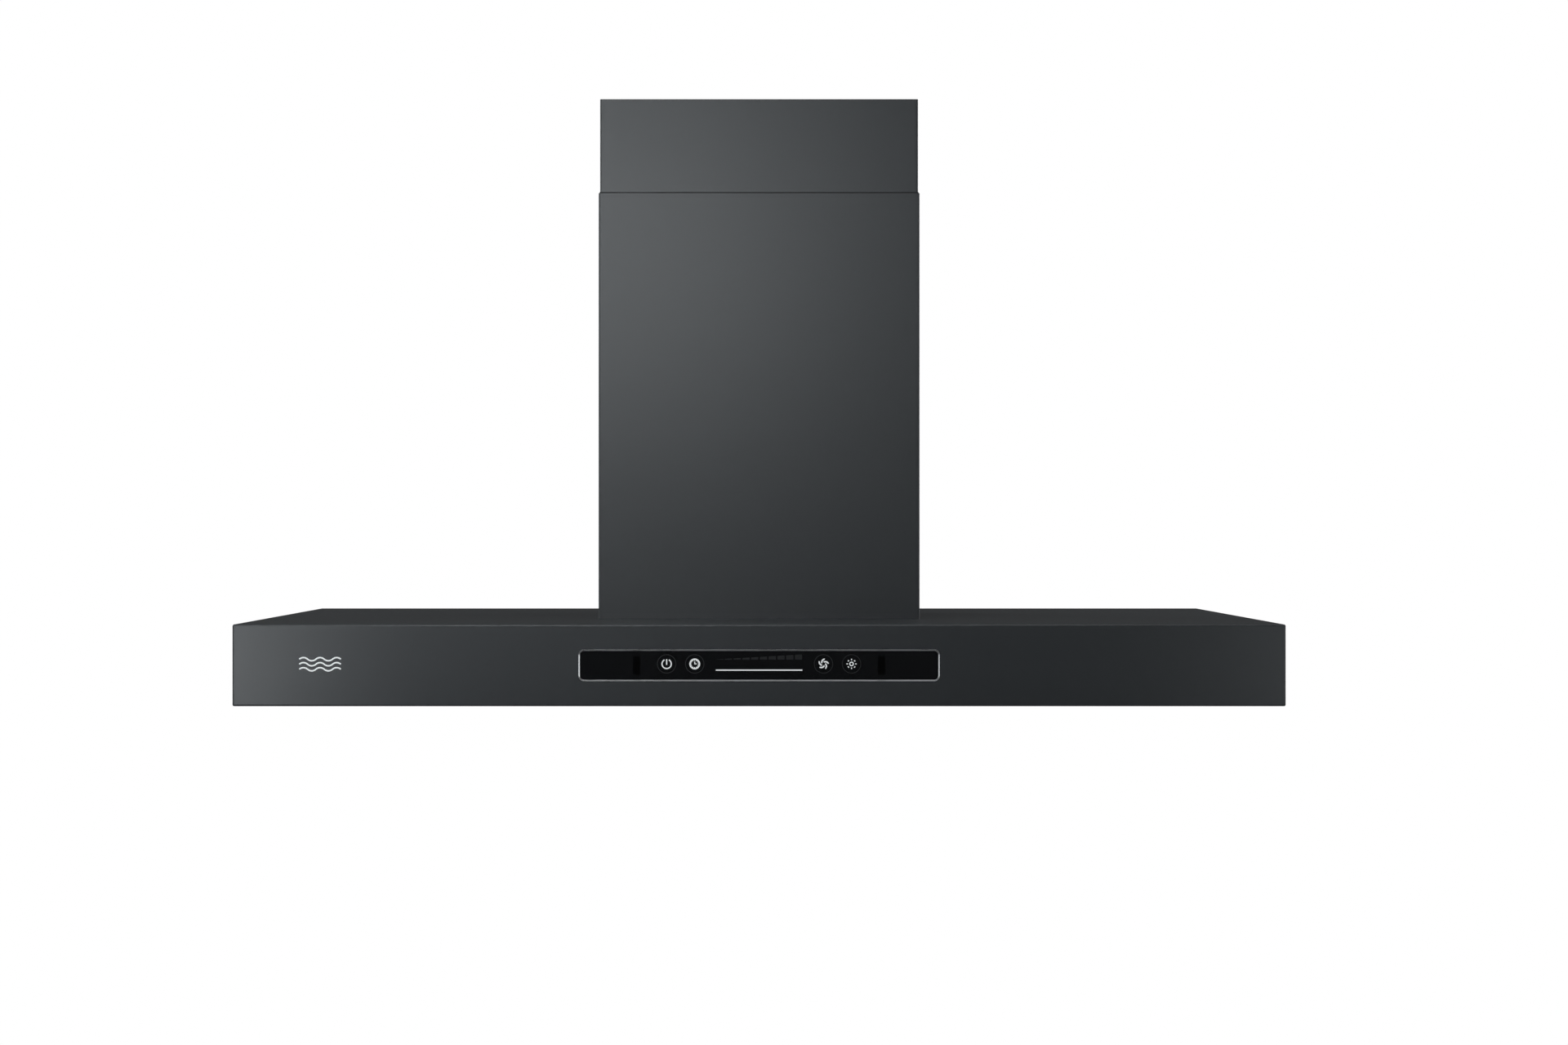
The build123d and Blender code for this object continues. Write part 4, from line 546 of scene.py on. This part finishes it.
def fanIcon(x, z, look):
    # each blade is cut at its own angle, so it isn't a copy
    made = []
    for blade in range(look["blades"]):
        turn = blade * 360 / look["blades"]
        aim = radians(look["aim"] + turn)
        made.append(inkRing(
            x + look["offset"] * cos(aim), z + look["offset"] * sin(aim), look["radius"], look["stroke"],
            glassFace, look["span"], look["middle"] + turn, look["steps"], look["lean"],
        ))
    return made


# lamp: a small ring with rays
lampLook = {
    "radius": 1.52 * mm, "stroke": 0.9 * mm, "steps": 40,
    "rays": 8, "rayRadius": 3.72 * mm, "ray": (1.3 * mm, 0.95 * mm),
}


def lampIcon(x, z, look):
    ring = inkRing(x, z, look["radius"], look["stroke"], glassFace, steps=look["steps"])
    ray = inkBar(x + look["rayRadius"], z, *look["ray"], glassFace)
    return [ring] + carryRound(ray, look["rays"], x, z, look["rayRadius"])


whiteMarks = powerIcon(panel["powerX"], iconZ, powerLook) + clockIcon(panel["clockX"], iconZ, clockLook)
whiteMarks += fanIcon(panel["fanX"], iconZ, fanLook) + lampIcon(panel["lampX"], iconZ, lampLook)
whiteMarks.append(inkBar(0, panelZ - panel["lineDrop"], 2 * panel["lineHalf"], panel["lineWidth"], glassFace))
# the panel icons get the white ink's painted glow
settle(joinPieces(whiteMarks), "panelIcons", inkWhitePaintedGlow, "hood")

# a faint ring round each icon, and the steps of the speed scale
halo = inkRing(
    panel["powerX"], iconZ, panel["haloRadius"], panel["haloWidth"], glassFace, steps=panel["haloSteps"],
)
faintMarks = [halo]
for x in (panel["clockX"], panel["fanX"], panel["lampX"]):
    faintMarks.append(copyPiece(halo, move=(x - panel["powerX"], 0)))
stepRise = (panel["stepTop"] - panel["stepBase"]) / panel["stepCount"]
for step in range(panel["stepCount"]):
    height = stepRise * (step + panel["stepStart"])
    x = (step - (panel["stepCount"] - 1) / 2) * panel["stepPitch"]
    z = panelZ + panel["stepBase"] + height / 2
    faintMarks.append(inkBar(x, z, panel["stepWidth"], height, glassFace, stepRise * panel["stepSlope"]))
settle(joinPieces(faintMarks), "panelHalos", inkFaint, "hood")

window = inkBar(-panel["windowX"], panelZ, *panel["windowSize"], glassFace)
windows = [window, copyPiece(window, move=(2 * panel["windowX"], 0))]
settle(joinPieces(windows), "panelWindows", inkShade, "hood")

# a plain sign of moving air at the left of the front: three level waves, each of joined arcs
shellLow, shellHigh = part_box("canopy_shell")
signLook = {
    "x": -375 * mm, "lift": 36 * mm, "rows": 3, "pitch": 4.3 * mm, "arcs": 5,
    "radius": 5.3 * mm, "stroke": 1.25 * mm, "span": 84.0,
}
reach = signLook["radius"] * sin(radians(signLook["span"] / 2))
drop = signLook["radius"] * cos(radians(signLook["span"] / 2))
signX = signLook["x"] - (signLook["arcs"] - 1) * reach
signZ = shellLow.z + signLook["lift"] - (signLook["rows"] - 1) / 2 * signLook["pitch"]
crest = inkRing(
    signX, signZ - drop, signLook["radius"], signLook["stroke"], shellLow.y, signLook["span"], 90.0,
)
trough = inkRing(
    signX + 2 * reach, signZ + drop, signLook["radius"], signLook["stroke"], shellLow.y, signLook["span"], -90.0,
)
waves = [crest, trough]
for row in range(signLook["rows"]):
    for arc in range(signLook["arcs"]):
        if row or arc > 1:
            move = ((arc - arc % 2) * 2 * reach, row * signLook["pitch"])
            waves.append(copyPiece(waves[arc % 2], move))
# the sign gets the white ink's painted glow, though it is printed on the painted front
settle(joinPieces(waves), "frontSign", inkWhitePaintedGlow, "hood")
print("printed marks made")

# a black strip paints the shade line at the seam between the covers: it is made as a felt glide lining the lower
# cover's top edge, where the upper cover slides in it
seamShadeGlide = {
    "thickness": 0.34 * mm, "gap": 0.08 * mm, "sheet": 0.8 * mm,
    "height": 14 * mm, "stand": 0.9 * mm,
    "bend": 0.9 * mm, "bendSteps": 4, "edge": 0.08 * mm,
}
lowerLow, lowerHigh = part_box("lower_chimney_cover")
insideX = lowerHigh.x - lowerLow.x - 2 * (seamShadeGlide["sheet"] + seamShadeGlide["gap"])
insideY = lowerHigh.y - lowerLow.y - 2 * (seamShadeGlide["sheet"] + seamShadeGlide["gap"])
clearSelection()
bpy.ops.mesh.primitive_plane_add(size=1.0, location=(0, 0, lowerHigh.z + seamShadeGlide["stand"] - seamShadeGlide["height"]))
seamShadeStrip = bpy.context.active_object
bpy.ops.object.transform_apply(location=True, rotation=True, scale=True)
openEdit(seamShadeStrip)
bpy.ops.mesh.select_all(action="SELECT")
bpy.ops.transform.resize(value=(insideX, insideY, 1.0), center_override=(0, 0, 0))
bpy.ops.mesh.bevel(offset=seamShadeGlide["bend"], segments=seamShadeGlide["bendSteps"], affect="VERTICES")
bpy.ops.mesh.select_all(action="SELECT")
bpy.ops.mesh.delete(type="ONLY_FACE")
bpy.ops.mesh.select_all(action="SELECT")
bpy.ops.mesh.extrude_region_move(TRANSFORM_OT_translate={"value": (0, 0, seamShadeGlide["height"])})
bpy.ops.mesh.select_all(action="SELECT")
bpy.ops.mesh.normals_make_consistent(inside=False)
bpy.ops.object.mode_set(mode="OBJECT")
wall = seamShadeStrip.modifiers.new("wall", "SOLIDIFY")
wall.thickness = seamShadeGlide["thickness"]
wall.offset = -1
soft = seamShadeStrip.modifiers.new("soft", "BEVEL")
soft.width = seamShadeGlide["edge"]
soft.segments = 2
soft.limit_method = "ANGLE"
applyModifiers(seamShadeStrip)
# its near-black colour is painted shade for the seam
seamShadeFelt = makePlastic("blackFeltSeamShade", (0.006, 0.006, 0.007), 0.85, 2400.0)
settle(seamShadeStrip, "coverGlideSeamShade", seamShadeFelt, "hood")
print("cover glide made")

# each latch spring is a welded, smoothed copy of its node that rides with its filter, and the node is hidden
springLook = {"fixedY": -145.8 * mm, "travel": 6.0 * mm, "weld": 0.001 * mm, "sharp": 40.0}
for side in sides:
    springNode = nodes["latch_spring_" + side]
    springLow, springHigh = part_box("latch_spring_" + side)
    spring = bpy.data.objects.new("latchSpring", springNode.data.copy())
    bpy.context.scene.collection.objects.link(spring)
    openEdit(spring)
    bpy.ops.mesh.select_all(action="SELECT")
    bpy.ops.mesh.remove_doubles(threshold=springLook["weld"])
    bpy.ops.object.mode_set(mode="OBJECT")
    bpy.ops.object.shade_smooth_by_angle(angle=radians(springLook["sharp"]))
    springSlot = slotOf["latch_spring_" + side]
    settle(spring, "latchSpring" + side.capitalize(), materials[springSlot], "filter_" + side)
    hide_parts("latch_spring_" + side)
    reach = max(abs(end.y - springLook["fixedY"]) for end in (springLow, springHigh))
    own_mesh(spring)
print("latch springs made")

# camera, backdrop and light
view = {
    "distance": 2.965, "rise": 81.5 * mm, "lens": 79.7, "sensor": 36.0,
    "shiftX": 0.015885, "shiftY": 0.004167, "reach": 200.0,
}
lens = bpy.data.cameras.new("camera")
lens.lens = view["lens"]
lens.sensor_width = view["sensor"]
lens.shift_x = view["shiftX"]
lens.shift_y = view["shiftY"]
lens.clip_end = view["reach"]
camera = bpy.data.objects.new("camera", lens)
camera.location = (0, shellLow.y - view["distance"], shellHigh.z + view["rise"])
camera.rotation_euler = (radians(90), 0, 0)
bpy.context.scene.collection.objects.link(camera)
bpy.context.scene.camera = camera

floorLook = {"z": -5.2, "radius": 20.0, "sides": 96, "tone": 0.86}
clearSelection()
bpy.ops.mesh.primitive_circle_add(
    vertices=floorLook["sides"], radius=floorLook["radius"], fill_type="NGON", location=(0, 0, floorLook["z"]),
)
floor = bpy.context.active_object
floor.name = "floor"
floorShader = Shader("paleFloor")
grain = floorShader.noise(6.0, 3.0)
floor.data.materials.append(floorShader.surface(
    Base_Color=floorShader.blend(grain, grey(floorLook["tone"]), grey(floorLook["tone"] * 1.03)),
    Roughness=0.8 + (grain - 0.5) * 0.1,
    Specular_IOR_Level=0.2,
))

# each light: place, aim, size, watts
lightTint = (0.93, 0.975, 1.0)
lights = {
    "keyLight": ((-0.30, -1.26, -0.01), (-0.04, -0.13, -0.12), (0.62, 0.22), 3.5),
    "cornerLight": ((-0.57, -0.80, -0.51), (-0.47, -0.3, -0.5), (0.10, 0.14), 0.46),
    "rightEndLight": ((0.66, -0.9, -0.51), (0.5, -0.3, -0.5), (0.16, 0.16), 0.24),
    "rightEdgeLight": ((2.0, -0.72, -0.45), (0.2, -0.3, -0.45), (0.5, 0.9), 4.0),
    "leftEdgeLight": ((-2.0, -0.66, -0.35), (-0.2, -0.3, -0.35), (0.5, 1.1), 2.4),
    "leftRearLight": ((-2.5, 1.6, 0.5), (0, 0.1, -0.35), (1.4, 1.2), 40.0),
    "rightRearLight": ((2.5, 1.6, 0.3), (0, 0.1, -0.35), (1.4, 1.2), 34.0),
    "rearLight": ((-0.3, 2.6, -1.3), (0, 0.2, -0.4), (3.2, 1.1), 40.0),
    "lowRearLight": ((-0.3, 2.6, -1.4), (0, 0.1, -0.5), (4.0, 1.8), 16.0),
    "lowFrontLight": ((0.0, -2.4, -1.6), (0, 0.1, -0.5), (4.0, 1.6), 7.0),
    "topLight": ((0, -0.55, 1.8), (0, -0.25, -0.47), (2.4, 0.6), 15.0),
    "underLight": ((0.2, 0.2, -2.7), (0, 0.1, -0.5), (3.2, 2.6), 20.0),
}
# some lights spare nodes and some reach only a few: the rim keeps thin glints, and the underside has no glare
rimNodes = ("control_bezel",)
lowNodes = ("filter_", "underside_liner", "liner_screws", "lamp_", "latch_")
spared = {"rearLight": lowNodes, "topLight": rimNodes, "underLight": rimNodes}
reached = {"lowRearLight": lowNodes, "lowFrontLight": lowNodes}


def makeLamp(name, kind):
    lamp = bpy.data.lights.new(name, kind)
    holder = bpy.data.objects.new(name, lamp)
    bpy.context.scene.collection.objects.link(holder)
    return lamp, holder


def lightOnly(holder, name, things):
    receivers = bpy.data.collections.new(name)
    for thing in things:
        receivers.objects.link(thing)
    holder.light_linking.receiver_collection = receivers


for name, (spot, aim, size, watts) in lights.items():
    lamp, holder = makeLamp(name, "AREA")
    lamp.shape = "RECTANGLE"
    lamp.size, lamp.size_y = size
    lamp.energy = watts
    lamp.color = lightTint
    holder.location = spot
    holder.rotation_euler = (Vector(aim) - Vector(spot)).to_track_quat("-Z", "Y").to_euler()
    holder.visible_camera = False
    if name in spared or name in reached:
        lightOnly(holder, name + "Receivers", [
            node for nodeName, node in nodes.items()
            if nodeName.startswith(reached.get(name, "")) and not nodeName.startswith(spared.get(name, ()))
        ])

# the floor has a light of its own and throws none back, so the hood keeps its dark tones
sunLook = {"strength": 3.8, "spread": 70}
floorSun, sunHolder = makeLamp("floorSun", "SUN")
floorSun.energy = sunLook["strength"]
floorSun.angle = radians(sunLook["spread"])
lightOnly(sunHolder, "onlyFloor", [floor])
floor.visible_diffuse = False
floor.visible_glossy = False

# the eye sees a white room; the light that it casts comes mostly from overhead
room = {
    "seen": 1.0, "tint": (0.96, 0.98, 1.0, 1),
    "level": 0.055, "overhead": 0.26, "under": 0.10,
    "overheadSpan": (0.25, 0.95), "underSpan": (-0.25, -0.85),
}
air = Shader("studio", "worlds", "Generated")
skyHeight = air.place.part("Z")


def skyShare(side):
    # half the level at the horizon, smoothly to this side's own strength
    start, end = room[side + "Span"]
    low = room["level"] / 2
    return air.node("ShaderNodeMapRange", {"interpolation_type": "SMOOTHSTEP"}, {
        "Value": skyHeight, "From Min": start, "From Max": end, "To Min": low, "To Max": room[side] - low,
    })


strength = skyShare("overhead") + skyShare("under")
cast = air.node("ShaderNodeBackground", {}, {"Color": room["tint"], "Strength": strength})
seen = air.node("ShaderNodeBackground", {}, {"Color": (1, 1, 1, 1), "Strength": room["seen"]})
eye = air.node("ShaderNodeLightPath", {}, {}, "Is Camera Ray")
either = air.node("ShaderNodeMixShader", {}, {0: eye, 1: cast, 2: seen})
air.node("ShaderNodeOutputWorld", {}, {"Surface": either})
bpy.context.scene.world = air.owner
bpy.context.scene.view_settings.view_transform = "Standard"
print("camera and light set")
